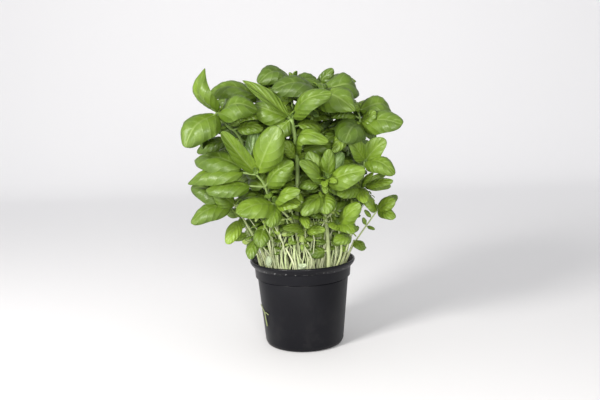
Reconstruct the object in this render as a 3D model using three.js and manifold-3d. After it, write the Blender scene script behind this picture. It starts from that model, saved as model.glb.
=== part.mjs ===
// Potted basil: a black plastic herb pot full of peat, with a dense clump of leafy basil stems.
// Millimetres, +Z up. The origin is the middle of the pot's flat underside.
// +X is to the right and -Y is the front of the clump.
import * as THREE from "three";
import { mergeVertices } from "three/addons/utils/BufferGeometryUtils.js";
import Module from "manifold-3d";

const wasm = await Module();
wasm.setup();

// Pot
const POT_HEIGHT = 86;
const RIM_RADIUS = 52.5;
const COLLAR_RADIUS = 48.2;
const LEDGE_HEIGHT = 68.5;
const WALL_TOP_RADIUS = 45.6;
const WALL_FOOT_RADIUS = 39.4;
const WALL_FOOT_HEIGHT = 4;
const BASE_RADIUS = 36.5;
const POT_WALL = 1.3;
const FLOOR_THICK = 1.6;
const COLLAR_INSIDE = 46.3;
const POT_SIDES = 24;
const DRAIN_HOLES = 6;
const DRAIN_RADIUS = 3.5;
const DRAIN_CIRCLE = 26;
const DRAIN_SIDES = 6;

// Peat
const SOIL_HEIGHT = 76;
const SOIL_GAP = 0.4;
const ROOT_DEPTH = 8;
const HOLE_GAP = 0.35;
const HOLE_SIDES = 4;

// A stray sprout against the left of the pot's wall: each place is an angle round the pot and a height
const SPROUT_THICK = 1.4;
const SPROUT_SIDES = 5;
const SPROUT_CLEAR = 0.3;
const SPROUT_STEM = [[-2.63, 22.5], [-2.66, 29], [-2.68, 36], [-2.8, 40], [-2.91, 42]];
const SPROUT_BRANCH = [[-2.68, 36], [-2.59, 36.6], [-2.51, 35.4]];

// Leaves
const BLADE_THICK = 0.8;
const STALK_THICK = 1.5;
const STALK_HALF_WIDTH = 0.9;
const LONG_STALK = 0.11;
const SMALL_LEAF = 17;
const LARGE_LEAF = 24;
const STATIONS = { large: [0.12, 0.36, 0.66, 0.89], plain: [0.16, 0.48, 0.84], small: [0.25, 0.72] };

// Clear space that a leaf keeps to the other stems' leaves, and to the blades of its own stem
const CLEAR_OF_OTHERS = 0.5;
const CLEAR_OF_OWN = 0.2;

// Ways in which a leaf may bend clear of what it would cross: a shift of its tip, and then a smaller leaf
const BENDS = [
  [0, 0, 0], [0, -5, 0], [0, 5, 0], [0, 0, 5], [0, 0, -5], [0, -10, 0], [0, 10, 0],
  [0, -8, 7], [0, 8, 7], [0, -8, -7], [0, 8, -7], [5, 0, 0], [-5, 0, 0], [0, 0, 12],
  [0, 0, -12], [0, -16, 0], [0, 16, 0], [9, 0, 6], [-9, 0, 6], [9, 0, -6], [-9, 0, -6],
  [0, 0, -20], [14, 0, 0], [-14, 0, 0], [14, 14, 0], [-14, 14, 0], [0, 24, 0],
];
const SHRINKS = [1, 0.8, 0.62];

// A repeatable draw between two limits
let seed = 2718;
function draw(low, high) {
  seed = (seed * 1664525 + 1013904223) % 4294967296;
  return low + ((high - low) * seed) / 4294967296;
}

function vector(list) {
  return new THREE.Vector3(list[0], list[1], list[2]);
}

// Closed solids, joined and cut

function solidFrom(positions, triangles) {
  const make = (order) =>
    new wasm.Manifold(
      new wasm.Mesh({
        numProp: 3,
        vertProperties: new Float32Array(positions),
        triVerts: new Uint32Array(order),
      }),
    );
  const made = make(triangles);
  if (made.volume() > 0) return made;
  return make([...triangles].reverse());
}

function solidOf(geometry) {
  const plain = geometry.clone();
  plain.deleteAttribute("normal");
  plain.deleteAttribute("uv");
  const merged = mergeVertices(plain, 1e-4);
  const index = merged.index.array;
  const triangles = [];
  for (let i = 0; i < index.length; i += 3) {
    const [a, b, c] = [index[i], index[i + 1], index[i + 2]];
    if (a !== b && b !== c && c !== a) triangles.push(a, b, c);
  }
  return solidFrom(merged.attributes.position.array, triangles);
}

function meshOf(name, solid, material) {
  const made = solid.getMesh();
  const geometry = new THREE.BufferGeometry();
  geometry.setAttribute("position", new THREE.BufferAttribute(made.vertProperties, 3));
  geometry.setIndex(new THREE.BufferAttribute(made.triVerts, 1));
  geometry.computeVertexNormals();
  const mesh = new THREE.Mesh(geometry, material);
  mesh.name = name;
  return mesh;
}

// A closed skin through rings of equally many points. A point that a ring holds twice is one corner there.
function loft(rings, splits, capTriangles) {
  const count = rings[0].length;
  const numbers = new Map();
  const positions = [];
  const number = (point) => {
    if (!numbers.has(point)) {
      numbers.set(point, numbers.size);
      positions.push(point.x, point.y, point.z);
    }
    return numbers.get(point);
  };
  const triangles = [];
  const face = (...corners) => {
    const [a, b, c] = corners.map(number);
    if (a !== b && b !== c && c !== a) triangles.push(a, b, c);
  };
  for (let i = 0; i + 1 < rings.length; i++) {
    for (let j = 0; j < count; j++) {
      const [a, b] = [rings[i][j], rings[i][(j + 1) % count]];
      const [c, d] = [rings[i + 1][j], rings[i + 1][(j + 1) % count]];
      face(a, b, splits[j] ? d : c);
      face(splits[j] ? a : b, d, c);
    }
  }
  const last = rings[rings.length - 1];
  for (const [a, b, c] of capTriangles) {
    face(rings[0][c], rings[0][b], rings[0][a]);
    face(last[a], last[b], last[c]);
  }
  return solidFrom(positions, triangles);
}

// Stems

const ACROSS = new THREE.Vector3(0, 1, 0);

function ringAround(centre, along, radius, sides) {
  const side = ACROSS.clone().cross(along).normalize();
  const front = along.clone().cross(side).normalize();
  const ring = [];
  for (let k = 0; k < sides; k++) {
    const angle = (2 * Math.PI * k) / sides;
    ring.push(
      centre
        .clone()
        .addScaledVector(side, radius * Math.cos(angle))
        .addScaledVector(front, radius * Math.sin(angle)),
    );
  }
  return ring;
}

// A closed rod through rings round the given places
function rodSolid(places, sides) {
  const rings = places.map(({ centre, along, radius }) => ringAround(centre, along, radius, sides));
  const fan = Array.from({ length: sides - 2 }, (_, k) => [0, k + 1, k + 2]);
  return loft(rings, Array(sides).fill(false), fan);
}

// A stem stands straight in its hole in the peat, and then runs on one curve through its whorls
function stemSolid(shoot, grow = 0) {
  const [x, y] = shoot.base;
  const foot = new THREE.Vector3(x, y, SOIL_HEIGHT - ROOT_DEPTH);
  const collar = new THREE.Vector3(x, y, SOIL_HEIGHT + 1.5);
  const curve = new THREE.CatmullRomCurve3(
    [collar, ...shoot.whorls.map((whorl) => vector(whorl.at))],
    false,
    "catmullrom",
    0.5,
  );
  const up = new THREE.Vector3(0, 0, 1);
  const radius = shoot.thick / 2 + grow;
  const places = [{ centre: foot, along: up, radius }];
  const steps = shoot.whorls.length * shoot.steps;
  for (let k = 0; k <= steps; k++) {
    const share = k / steps;
    const along = k === 0 ? up : curve.getTangent(share);
    places.push({ centre: curve.getPoint(share), along, radius: radius * (1 - (1 - shoot.taper) * share) });
  }
  return rodSolid(places, shoot.sides);
}

// The wall of the pot narrows evenly from its ledge to its foot, and the stray sprout follows it
function wallRadius(height) {
  const share = (height - WALL_FOOT_HEIGHT) / (LEDGE_HEIGHT - WALL_FOOT_HEIGHT);
  return WALL_FOOT_RADIUS + (WALL_TOP_RADIUS - WALL_FOOT_RADIUS) * share;
}
function sproutSolid(bends) {
  const centres = bends.map(([angle, height]) => {
    const reach = wallRadius(height) + SPROUT_CLEAR + SPROUT_THICK / 2;
    return new THREE.Vector3(reach * Math.cos(angle), reach * Math.sin(angle), height);
  });
  const places = centres.map((centre, k) => {
    const before = centres[Math.max(k - 1, 0)];
    const after = centres[Math.min(k + 1, centres.length - 1)];
    return { centre, along: after.clone().sub(before).normalize(), radius: SPROUT_THICK / 2 };
  });
  return rodSolid(places, SPROUT_SIDES);
}

// Leaves

// Half the width of the blade, from its base at 0 to its tip at 1: a full oval, broadest before its middle
function bladeProfile(t) {
  return Math.pow(Math.sin(Math.PI * Math.pow(t, 0.85)), 0.58);
}

// The midrib rises towards the face of the leaf and droops again at the tip
function midrib(leaf, start, s) {
  const chord = leaf.end.clone().sub(start);
  const rise = leaf.arch * chord.length() * Math.sin(Math.PI * Math.pow(Math.max(s, 0), 1.25));
  const lift = leaf.facing.clone().addScaledVector(chord, -leaf.facing.dot(chord) / chord.lengthSq());
  return start.clone().addScaledVector(chord, s).addScaledVector(lift.normalize(), rise);
}

// Where the midrib runs at a place along the leaf, and which way the leaf lies there
function leafFrame(leaf, start, s) {
  const step = 0.01;
  const centre = midrib(leaf, start, s);
  const along = midrib(leaf, start, s + step).sub(midrib(leaf, start, s - step)).normalize();
  const side = along.clone().cross(leaf.facing).normalize();
  const normal = side.clone().cross(along);
  return (across, height) => centre.clone().addScaledVector(side, across).addScaledVector(normal, height);
}

// The blade has three points over and three under: edge, midrib, edge
function bladeRing(leaf, start, s, halfWidth, half) {
  const at = leafFrame(leaf, start, s);
  const out = (halfWidth * Math.sin(leaf.cup)) / leaf.cup;
  const drop = (halfWidth * (1 - Math.cos(leaf.cup))) / leaf.cup;
  return [
    at(-out, half - drop), at(0, half), at(out, half - drop),
    at(out, -half - drop), at(0, -half), at(-out, -half - drop),
  ];
}

// The stalk has four sides, and the tip is an edge as high as the blade is thick
function stalkRing(leaf, start, s, halfWidth, half) {
  const at = leafFrame(leaf, start, s);
  const [left, over, right, under] = [at(-halfWidth, 0), at(0, half), at(halfWidth, 0), at(0, -half)];
  return [left, over, right, right, under, left];
}
function tipRing(leaf, start, s, half) {
  const at = leafFrame(leaf, start, s);
  const [over, under] = [at(0, half), at(0, -half)];
  return [over, over, over, under, under, under];
}

const LEAF_SPLITS = [false, true, false, false, true, false];
const LEAF_CAPS = [[0, 1, 5], [1, 4, 5], [1, 2, 4], [2, 3, 4]];

// The whole leaf with its stalk from inside the stem, or only the blade past its crowded first part,
// grown by a clearance if asked
function leafSolid(leaf, start, grow = 0, bladeOnly = false) {
  const rings = [];
  if (!bladeOnly) {
    const [halfWidth, half] = [STALK_HALF_WIDTH + grow, STALK_THICK / 2 + grow];
    rings.push(stalkRing(leaf, start, 0, halfWidth, half));
    if (leaf.stalk > LONG_STALK) rings.push(stalkRing(leaf, start, leaf.stalk, halfWidth, half));
  }
  const half = BLADE_THICK / 2 + grow;
  const stations = STATIONS[leaf.detail];
  for (const t of bladeOnly ? stations.slice(1) : stations) {
    const s = leaf.stalk + (1 - leaf.stalk) * t;
    rings.push(bladeRing(leaf, start, s, (leaf.wide / 2) * bladeProfile(t) + 1.5 * grow, half));
  }
  rings.push(tipRing(leaf, start, 1 + grow / leaf.end.distanceTo(start), half));
  return loft(rings, LEAF_SPLITS, LEAF_CAPS);
}

function bentLeaf(leaf, start, bend, shrink) {
  const end = vector(leaf.tip).add(vector(bend)).sub(start).multiplyScalar(shrink).add(start);
  return { ...leaf, end, facing: vector(leaf.face).normalize(), wide: leaf.wide * shrink };
}

// A leaf: where its tip is, which way its upper face looks, its greatest width, how far its midrib rises
// per length, the angle that each half is turned down (or up, if negative), and the stalk's share of its length
function leaf(tip, face, wide, arch, cup, stalk) {
  const detail = wide < SMALL_LEAF ? "small" : wide < LARGE_LEAF ? "plain" : "large";
  return { tip, face, wide, arch, cup, stalk, detail };
}

// The leafy stems that make the front of the clump, each with its whorls from the lowest to the top
const FRONT = { thick: 3, taper: 0.6, sides: 4, steps: 2 };
const frontShoots = [
  {
    ...FRONT,
    name: "stem_front_centre",
    base: [-12, -28],
    whorls: [
      { at: [-24, -38, 129], leaves: [] },
      {
        at: [-32, -56, 165],
        leaves: [
          leaf([-84, -72, 165], [0, -0.38, 0.92], 28, 0.1, 0.85, 0.28),
          leaf([-5, -74, 188], [-0.35, -0.75, 0.55], 31, 0.2, 0.8, 0.12),
        ],
      },
      {
        at: [-39, -62, 177],
        leaves: [
          leaf([-102, -58, 170], [0, -0.36, 0.93], 35, 0.14, 0.75, 0.18),
          leaf([-96, -36, 184], [0, -0.45, 0.88], 38, 0.16, 0.7, 0.22),
          leaf([-17, -84, 220], [-0.1, -0.95, 0.3], 34, 0.12, 0.6, 0.06),
          leaf([-67, -82, 217], [0.2, -0.97, 0.1], 20, 0.03, -1.2, 0.06),
          leaf([-40, -48, 219], [0, 0.9, 0.3], 20, 0.06, 0.9, 0.1),
        ],
      },
    ],
  },
  {
    ...FRONT,
    name: "stem_middle",
    thick: 4.2,
    taper: 0.85,
    base: [-3, -21],
    whorls: [
      { at: [-4, -35, 125], leaves: [] },
      {
        at: [-2, -50, 191],
        leaves: [
          leaf([26, -78, 205], [-0.35, -0.5, 0.8], 26, 0.42, 0.75, 0.08),
          leaf([-13, -64, 206], [-0.3, -0.8, 0.4], 15, 0.1, 0.5, 0.1),
        ],
      },
      {
        at: [-6, -55, 226],
        leaves: [
          leaf([30, -80, 247], [-0.25, -0.75, 0.6], 28, 0.22, 0.55, 0.07),
          leaf([-40, -46, 239], [-0.1, -0.85, 0.5], 28, 0.14, 0.5, 0.12),
          leaf([-48, -66, 261], [0.4, -0.7, 0.5], 17, 0.06, -0.9, 0.06),
          leaf([-20, -54, 207], [-0.3, -0.8, 0.4], 22, 0.2, 0.7, 0.1),
        ],
      },
    ],
  },
  {
    ...FRONT,
    name: "stem_front_right",
    thick: 4,
    base: [25, -33],
    whorls: [
      { at: [24, -42, 118], leaves: [] },
      {
        at: [20, -56, 158],
        leaves: [
          leaf([23, -75, 141], [0, -0.75, 0.6], 25, 0.16, 0.5, 0.06),
          leaf([1, -80, 141], [-0.3, -0.8, 0.5], 21, 0.16, 0.6, 0.1),
          leaf([11, -70, 141], [-0.2, -0.8, 0.5], 13, 0.1, 0.5, 0.1),
        ],
      },
      {
        at: [22, -64, 168],
        leaves: [
          leaf([57, -86, 180], [-0.15, -0.8, 0.6], 28, 0.12, 0.5, 0.1),
          leaf([0, -88, 190], [-0.2, -0.75, 0.6], 20, 0.14, 0.8, 0.1),
          leaf([8, -66, 197], [0, -0.9, 0.4], 22, 0.08, 0.6, 0.1),
          leaf([26, -76, 199], [0.2, -0.95, 0.2], 17, 0.06, 0.6, 0.1),
          leaf([39, -62, 195], [0.3, 0.9, 0.2], 16, 0.08, 0.6, 0.1),
        ],
      },
      {
        at: [23, -69, 171],
        leaves: [
          leaf([13, -82, 174], [0, -0.5, 0.85], 8, 0.1, -0.4, 0.1),
          leaf([21, -84, 180], [0.2, -0.6, 0.7], 8, 0.1, -0.4, 0.1),
          leaf([22, -88, 167], [-0.3, -0.6, 0.7], 8, 0.1, -0.4, 0.1),
          leaf([32, -84, 170], [-0.2, -0.6, 0.7], 8, 0.1, -0.4, 0.1),
        ],
      },
    ],
  },
  {
    ...FRONT,
    name: "stem_right",
    base: [36, -18],
    whorls: [
      { at: [48, -26, 115], leaves: [] },
      {
        at: [57, -41, 160],
        leaves: [
          leaf([66, -68, 176], [-0.7, -0.5, 0.5], 9, 0.1, 0.5, 0.1),
          leaf([83, -70, 168], [-0.2, -0.7, 0.7], 13, 0.08, 0.6, 0.15),
          leaf([58, -74, 150], [-0.1, -0.9, 0.4], 15, 0.1, 0.5, 0.1),
          leaf([34, -68, 156], [0, -0.7, 0.7], 23, 0.14, 0.6, 0.1),
          leaf([85, -38, 160], [0, -0.5, 0.8], 17, 0.15, 0.7, 0.15),
        ],
      },
      {
        at: [60, -50, 185],
        leaves: [
          leaf([46, -66, 206], [0.2, -0.9, 0.3], 21, 0.06, -0.4, 0.08),
          leaf([78, -62, 205], [-0.1, -0.95, 0.2], 22, 0.05, -0.9, 0.08),
          leaf([84, -72, 174], [0, -0.65, 0.75], 31, 0.26, 0.75, 0.06),
          leaf([62, -36, 204], [0.2, 0.8, 0.4], 16, 0.08, 0.5, 0.1),
        ],
      },
    ],
  },
  {
    ...FRONT,
    name: "stem_front_low",
    base: [-3, -36],
    whorls: [
      { at: [-6, -47, 124], leaves: [] },
      {
        at: [-23, -64, 150],
        leaves: [
          leaf([-55, -92, 146], [-0.1, -0.6, 0.8], 34, 0.12, 0.6, 0.05),
          leaf([0, -90, 164], [0.1, -0.75, 0.65], 20, 0.18, 0.5, 0.12),
          leaf([-1, -82, 151], [0, -0.5, 0.85], 22, 0.1, 0.6, 0.1),
          leaf([-28, -88, 133], [0.3, -0.8, 0.45], 18, 0.14, 0.5, 0.08),
          leaf([-16, -80, 160], [-0.3, -0.6, 0.7], 10, 0.1, 0.5, 0.1),
        ],
      },
    ],
  },
  {
    ...FRONT,
    name: "stem_left",
    base: [-28, -9],
    whorls: [
      { at: [-40, -14, 150], leaves: [] },
      { at: [-54, -35, 207], leaves: [] },
      { at: [-65, -45, 221], leaves: [leaf([-49, -56, 229], [-0.2, -0.7, 0.6], 13, 0.12, 0.5, 0.15)] },
      {
        at: [-73, -50, 233],
        leaves: [
          leaf([-81, -60, 273], [-0.8, -0.6, 0.1], 31, 0.31, 0.6, 0.04),
          leaf([-100, -74, 204], [-0.35, -0.75, 0.5], 43, 0.22, 0.75, 0.06),
          leaf([-36, -60, 234], [-0.1, -0.65, 0.75], 37, 0.3, 0.65, 0.05),
          leaf([-90, -30, 198], [-0.8, 0.1, 0.5], 22, 0.2, 0.7, 0.1),
        ],
      },
    ],
  },
  {
    ...FRONT,
    name: "stem_upper_right",
    base: [29, -4],
    whorls: [
      { at: [43, -7, 145], leaves: [] },
      { at: [48, -22, 206], leaves: [] },
      {
        at: [57, -38, 220],
        leaves: [
          leaf([92, -68, 218], [-0.05, -0.8, 0.6], 30, 0.1, 0.5, 0.08),
          leaf([40, -72, 204], [-0.1, -0.95, 0.3], 34, 0.12, 0.5, 0.04),
          leaf([72, -34, 203], [0.2, -0.5, 0.8], 19, 0.12, 0.6, 0.1),
          leaf([30, -68, 195], [-0.3, -0.7, 0.6], 19, 0.16, 0.8, 0.35),
          leaf([71, -52, 229], [-0.3, -0.75, 0.6], 22, 0.08, 0.5, 0.1),
        ],
      },
      {
        at: [56, -30, 231],
        leaves: [
          leaf([88, -24, 228], [0, -0.6, 0.8], 38, 0.34, 0.6, 0.06),
          leaf([38, 2, 238], [-0.2, 0.3, 0.9], 29, 0.2, 0.6, 0.1),
        ],
      },
    ],
  },
  {
    ...FRONT,
    name: "stem_top_right",
    thick: 3.4,
    base: [8, -10],
    whorls: [
      { at: [9, -10, 150], leaves: [] },
      { at: [13, -20, 226], leaves: [] },
      {
        at: [21, -30, 251],
        leaves: [
          leaf([-23, -60, 251], [0, -0.6, 0.8], 38, 0.2, 0.55, 0.08),
          leaf([51, -64, 231], [-0.1, -0.7, 0.7], 38, 0.16, 0.6, 0.07),
          leaf([58, -30, 246], [0, -0.75, 0.65], 42, 0.38, 0.6, 0.06),
        ],
      },
    ],
  },
  {
    ...FRONT,
    name: "stem_top_middle",
    base: [-6, -5],
    whorls: [
      { at: [-7, -6, 150], leaves: [] },
      {
        at: [-6, -10, 214],
        leaves: [
          leaf([26, -26, 218], [0, -0.6, 0.8], 29, 0.18, 0.6, 0.1),
          leaf([-34, -18, 220], [0, -0.6, 0.8], 29, 0.18, 0.6, 0.1),
        ],
      },
      {
        at: [-4, -14, 262],
        leaves: [
          leaf([-36, -40, 259], [-0.1, -0.6, 0.8], 36, 0.27, 0.6, 0.06),
          leaf([24, 6, 254], [0.1, -0.5, 0.85], 34, 0.2, 0.6, 0.1),
          leaf([-34, 18, 252], [-0.1, 0.3, 0.95], 31, 0.2, 0.6, 0.1),
        ],
      },
    ],
  },
  {
    ...FRONT,
    name: "stem_top_left",
    base: [-17, 1],
    whorls: [
      { at: [-24, -4, 150], leaves: [] },
      {
        at: [-31, -16, 208],
        leaves: [leaf([-66, -20, 218], [-0.1, -0.7, 0.7], 29, 0.18, 0.6, 0.1)],
      },
      {
        at: [-34, -26, 245],
        leaves: [
          leaf([-84, -40, 249], [0, -0.55, 0.85], 32, 0.24, 0.6, 0.08),
          leaf([-70, 6, 240], [-0.3, 0.1, 0.95], 31, 0.18, 0.6, 0.1),
        ],
      },
    ],
  },
  {
    ...FRONT,
    name: "stem_inner_left",
    thick: 2.6,
    base: [-14, -13],
    whorls: [
      {
        at: [-20, -22, 148],
        leaves: [
          leaf([-48, -18, 144], [-0.2, -0.5, 0.8], 25, 0.18, 0.6, 0.1),
          leaf([-12, -48, 150], [0.1, -0.6, 0.8], 25, 0.18, 0.6, 0.1),
        ],
      },
      {
        at: [-22, -26, 186],
        leaves: [
          leaf([-38, -46, 202], [-0.1, -0.8, 0.5], 26, 0.16, 0.6, 0.1),
          leaf([-18, -8, 214], [-0.2, -0.8, 0.3], 26, 0.14, 0.6, 0.1),
          leaf([-54, -14, 190], [-0.2, -0.5, 0.8], 28, 0.18, 0.6, 0.1),
        ],
      },
    ],
  },
  {
    ...FRONT,
    name: "stem_inner_right",
    thick: 2.6,
    base: [18, -18],
    whorls: [
      {
        at: [31, -24, 145],
        leaves: [
          leaf([56, -10, 142], [0.2, -0.5, 0.8], 25, 0.18, 0.6, 0.1),
          leaf([12, -40, 150], [-0.1, -0.6, 0.8], 25, 0.18, 0.6, 0.1),
        ],
      },
      {
        at: [34, -26, 180],
        leaves: [
          leaf([12, -36, 198], [-0.2, -0.8, 0.5], 27, 0.16, 0.6, 0.1),
          leaf([40, -10, 206], [0.1, -0.8, 0.4], 26, 0.14, 0.6, 0.1),
          leaf([62, -12, 184], [0.2, -0.4, 0.8], 26, 0.18, 0.6, 0.1),
        ],
      },
    ],
  },
  {
    ...FRONT,
    name: "stem_inner_low",
    thick: 2.4,
    base: [6, -32],
    whorls: [
      {
        at: [3, -44, 121],
        leaves: [
          leaf([-17, -58, 128], [0, -0.8, 0.5], 17, 0.14, 0.6, 0.1),
          leaf([22, -60, 124], [0, -0.8, 0.5], 17, 0.14, 0.6, 0.1),
        ],
      },
      {
        at: [2, -48, 138],
        leaves: [
          leaf([-12, -52, 160], [0, -0.9, 0.3], 20, 0.12, 0.6, 0.1),
          leaf([16, -56, 160], [0, -0.9, 0.3], 20, 0.12, 0.6, 0.1),
          leaf([6, -72, 128], [0, -0.7, 0.6], 15, 0.12, 0.6, 0.1),
        ],
      },
    ],
  },
  {
    ...FRONT,
    name: "stem_low_left",
    thick: 2.6,
    base: [-29, -22],
    whorls: [
      { at: [-46, -31, 115], leaves: [] },
      {
        at: [-61, -43, 147],
        leaves: [
          leaf([-100, -62, 134], [0, -0.38, 0.92], 30, 0.18, 0.95, 0.12),
          leaf([-102, -40, 160], [0, -0.5, 0.86], 34, 0.16, 0.7, 0.15),
          leaf([-78, -62, 164], [0.1, -0.9, 0.4], 23, 0.12, 0.5, 0.08),
        ],
      },
    ],
  },
  {
    ...FRONT,
    name: "stem_side_right",
    thick: 2,
    base: [41, -8],
    whorls: [
      { at: [51, -17, 102], leaves: [] },
      {
        at: [72, -36, 137],
        leaves: [
          leaf([57, -48, 150], [0, -0.7, 0.7], 17, 0.16, 0.6, 0.1),
          leaf([87, -54, 148], [-0.2, -0.8, 0.5], 19, 0.12, 0.5, 0.08),
          leaf([85, -62, 133], [-0.1, -0.8, 0.5], 14, 0.1, 0.5, 0.08),
          leaf([92, -30, 150], [0.2, -0.3, 0.9], 15, 0.1, 0.5, 0.1),
        ],
      },
    ],
  },
  {
    ...FRONT,
    name: "stem_side_left",
    thick: 2.2,
    base: [-40, -11],
    whorls: [
      { at: [-48, -20, 108], leaves: [] },
      {
        at: [-58, -30, 133],
        leaves: [
          leaf([-70, -46, 111], [-0.3, -0.85, 0.35], 19, 0.08, 0.4, 0.12),
          leaf([-41, -54, 118], [0.1, -0.8, 0.5], 17, 0.1, 0.5, 0.12),
          leaf([-66, -2, 138], [-0.3, 0.1, 0.9], 19, 0.16, 0.5, 0.1),
        ],
      },
    ],
  },
  {
    ...FRONT,
    name: "stem_low_right",
    thick: 2.4,
    base: [31, -27],
    whorls: [
      { at: [37, -40, 100], leaves: [] },
      {
        at: [34, -50, 127],
        leaves: [
          leaf([53, -78, 149], [-0.3, -0.85, 0.4], 21, 0.1, 0.5, 0.08),
          leaf([46, -80, 129], [-0.1, -0.6, 0.8], 17, 0.12, 0.5, 0.08),
          leaf([26, -72, 128], [0, -0.7, 0.6], 15, 0.1, 0.5, 0.1),
        ],
      },
    ],
  },
  {
    ...FRONT,
    name: "seedling_rim_left",
    thick: 1.8,
    base: [-33, -26],
    whorls: [
      { at: [-43, -37, 114], leaves: [leaf([-48, -57, 98], [-0.3, -0.8, 0.5], 15, 0.16, 0.5, 0.1)] },
    ],
  },
  {
    ...FRONT,
    name: "seedling_front_left",
    thick: 1.8,
    base: [-26, -32],
    whorls: [
      { at: [-35, -47, 125], leaves: [leaf([-38, -62, 110], [0, -0.9, 0.45], 18, 0.18, 0.5, 0.08)] },
    ],
  },
  {
    ...FRONT,
    name: "seedling_rim_right",
    thick: 1.8,
    base: [39, -14],
    whorls: [
      { at: [50, -30, 108], leaves: [leaf([58, -42, 100], [0.2, -0.7, 0.6], 13, 0.14, 0.5, 0.1)] },
    ],
  },
  {
    ...FRONT,
    name: "seedling_front_right",
    thick: 1.8,
    base: [35, -22],
    whorls: [
      { at: [46, -50, 116], leaves: [leaf([29, -64, 113], [0, -0.6, 0.8], 17, 0.14, 0.5, 0.08)] },
    ],
  },
];

// The leafy stems behind: three rows that fan out from the peat, with crossed pairs of leaves
const BACK_ROWS = [
  { y: 12, columns: [-46, 15, 50], levels: 4 },
  { y: 38, columns: [-54, -22, 8, 38], levels: 3 },
  { y: 64, columns: [-36, -4, 28], levels: 4 },
];
const SOIL_SHARE = 0.44;
const CROWN_HEIGHT = 256;
const CROWN_FALL = 0.0085;
const WHORL_STEP = 30;
const LEAF_LENGTHS = [40, 50, 50, 46];
const LEAF_PITCHES = [0.2, 0.1, -0.1, -0.2];
const backShoots = [];
for (const row of BACK_ROWS) {
  for (const column of row.columns) {
    const x = column + draw(-3, 3);
    const y = row.y + draw(-3, 3);
    const top = CROWN_HEIGHT - CROWN_FALL * (x * x + y * y) + draw(-7, 7);
    const base = [SOIL_SHARE * x, SOIL_SHARE * y];
    const turn = draw(0, Math.PI);
    const whorls = [];
    for (let level = row.levels - 1; level >= 0; level--) {
      const z = top - WHORL_STEP * level;
      const share = (z - SOIL_HEIGHT) / (top - SOIL_HEIGHT);
      const spread = SOIL_SHARE + (1 - SOIL_SHARE) * share * share;
      const at = [x * spread, y * spread, z];
      const leaves = [];
      for (let pair = 0; pair < 2; pair++) {
        const heading = turn + level * (Math.PI / 2) + pair * Math.PI + draw(-0.3, 0.3);
        const length = LEAF_LENGTHS[level] * draw(0.88, 1.12);
        const pitch = LEAF_PITCHES[level] + draw(-0.15, 0.15);
        const flat = length * Math.cos(pitch);
        const tip = [
          at[0] + flat * Math.cos(heading),
          at[1] + flat * Math.sin(heading),
          z + length * Math.sin(pitch),
        ];
        const face = [0.4 * Math.cos(heading), 0.4 * Math.sin(heading), 0.9];
        const [wide, arch, cup] = [length * draw(0.6, 0.72), draw(0.14, 0.22), draw(0.5, 0.8)];
        leaves.push({ ...leaf(tip, face, wide, arch, cup, 0.1), detail: level > 1 ? "small" : "plain" });
      }
      whorls.push({ at, leaves });
    }
    const name = `stem_back_${backShoots.length + 1}`;
    backShoots.push({ name, base, whorls, thick: 3, taper: 0.6, sides: 4, steps: 1 });
  }
}

// Young plants all round, each a thin stem with two small leaves
const SEEDLINGS = 14;
const GOLDEN_TURN = 2.39996;
const seedlings = [];
for (let k = 0; k < SEEDLINGS; k++) {
  const angle = k * GOLDEN_TURN + draw(-0.2, 0.2);
  const reach = draw(26, 42);
  const base = [reach * Math.cos(angle), reach * Math.sin(angle)];
  const height = draw(26, 56);
  const spread = draw(1.05, 1.3);
  const at = [base[0] * spread, base[1] * spread, SOIL_HEIGHT + height];
  const turn = draw(0, Math.PI);
  const leaves = [];
  for (let pair = 0; pair < 2; pair++) {
    const heading = turn + pair * Math.PI + draw(-0.4, 0.4);
    const length = draw(11, 18);
    const tip = [at[0] + length * Math.cos(heading), at[1] + length * Math.sin(heading), at[2] + draw(-3, 7)];
    const face = [0.5 * Math.cos(angle), 0.5 * Math.sin(angle), 0.8];
    leaves.push(leaf(tip, face, length * draw(0.65, 0.8), 0.12, 0.5, 0.1));
  }
  const name = `seedling_${k + 1}`;
  seedlings.push({ name, base, whorls: [{ at, leaves }], thick: 1.7, taper: 0.8, sides: 3, steps: 2 });
}

// Pot: one moulded cup with a flared lip, a collar, a ledge and a tapered wall, and drain holes in its floor
const potOutside = [
  [0, 0], [BASE_RADIUS - 1, 0], [BASE_RADIUS + 1.6, 1.2], [WALL_FOOT_RADIUS, WALL_FOOT_HEIGHT],
  [WALL_TOP_RADIUS, LEDGE_HEIGHT], [COLLAR_RADIUS - 0.7, LEDGE_HEIGHT + 0.6], [COLLAR_RADIUS, 78.4],
  [49.8, 80], [51.4, 82], [RIM_RADIUS - 0.1, 84], [RIM_RADIUS, 85.2], [RIM_RADIUS - 0.7, POT_HEIGHT],
];
const potInside = [
  [RIM_RADIUS - 1.7, POT_HEIGHT], [50.2, 84.2], [48.4, 81.2], [COLLAR_RADIUS - POT_WALL, 79],
  [COLLAR_INSIDE, LEDGE_HEIGHT + 2.4], [WALL_TOP_RADIUS - POT_WALL, LEDGE_HEIGHT + 1],
  [WALL_FOOT_RADIUS - POT_WALL, WALL_FOOT_HEIGHT + 0.4], [BASE_RADIUS, FLOOR_THICK], [0, FLOOR_THICK],
];

function turned(profile) {
  const points = profile.map(([radius, height]) => new THREE.Vector2(radius, height));
  return solidOf(new THREE.LatheGeometry(points, POT_SIDES).rotateX(Math.PI / 2));
}

function prism(x, y, low, high, radius, sides) {
  const geometry = new THREE.CylinderGeometry(radius, radius, high - low, sides);
  return solidOf(geometry.rotateX(Math.PI / 2).translate(x, y, (low + high) / 2));
}

let pot = turned([...potOutside, ...potInside]);
for (let k = 0; k < DRAIN_HOLES; k++) {
  const angle = (2 * Math.PI * k) / DRAIN_HOLES;
  const x = DRAIN_CIRCLE * Math.cos(angle);
  const y = DRAIN_CIRCLE * Math.sin(angle);
  pot = pot.subtract(prism(x, y, -1, FLOOR_THICK + 1, DRAIN_RADIUS, DRAIN_SIDES));
}

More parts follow.
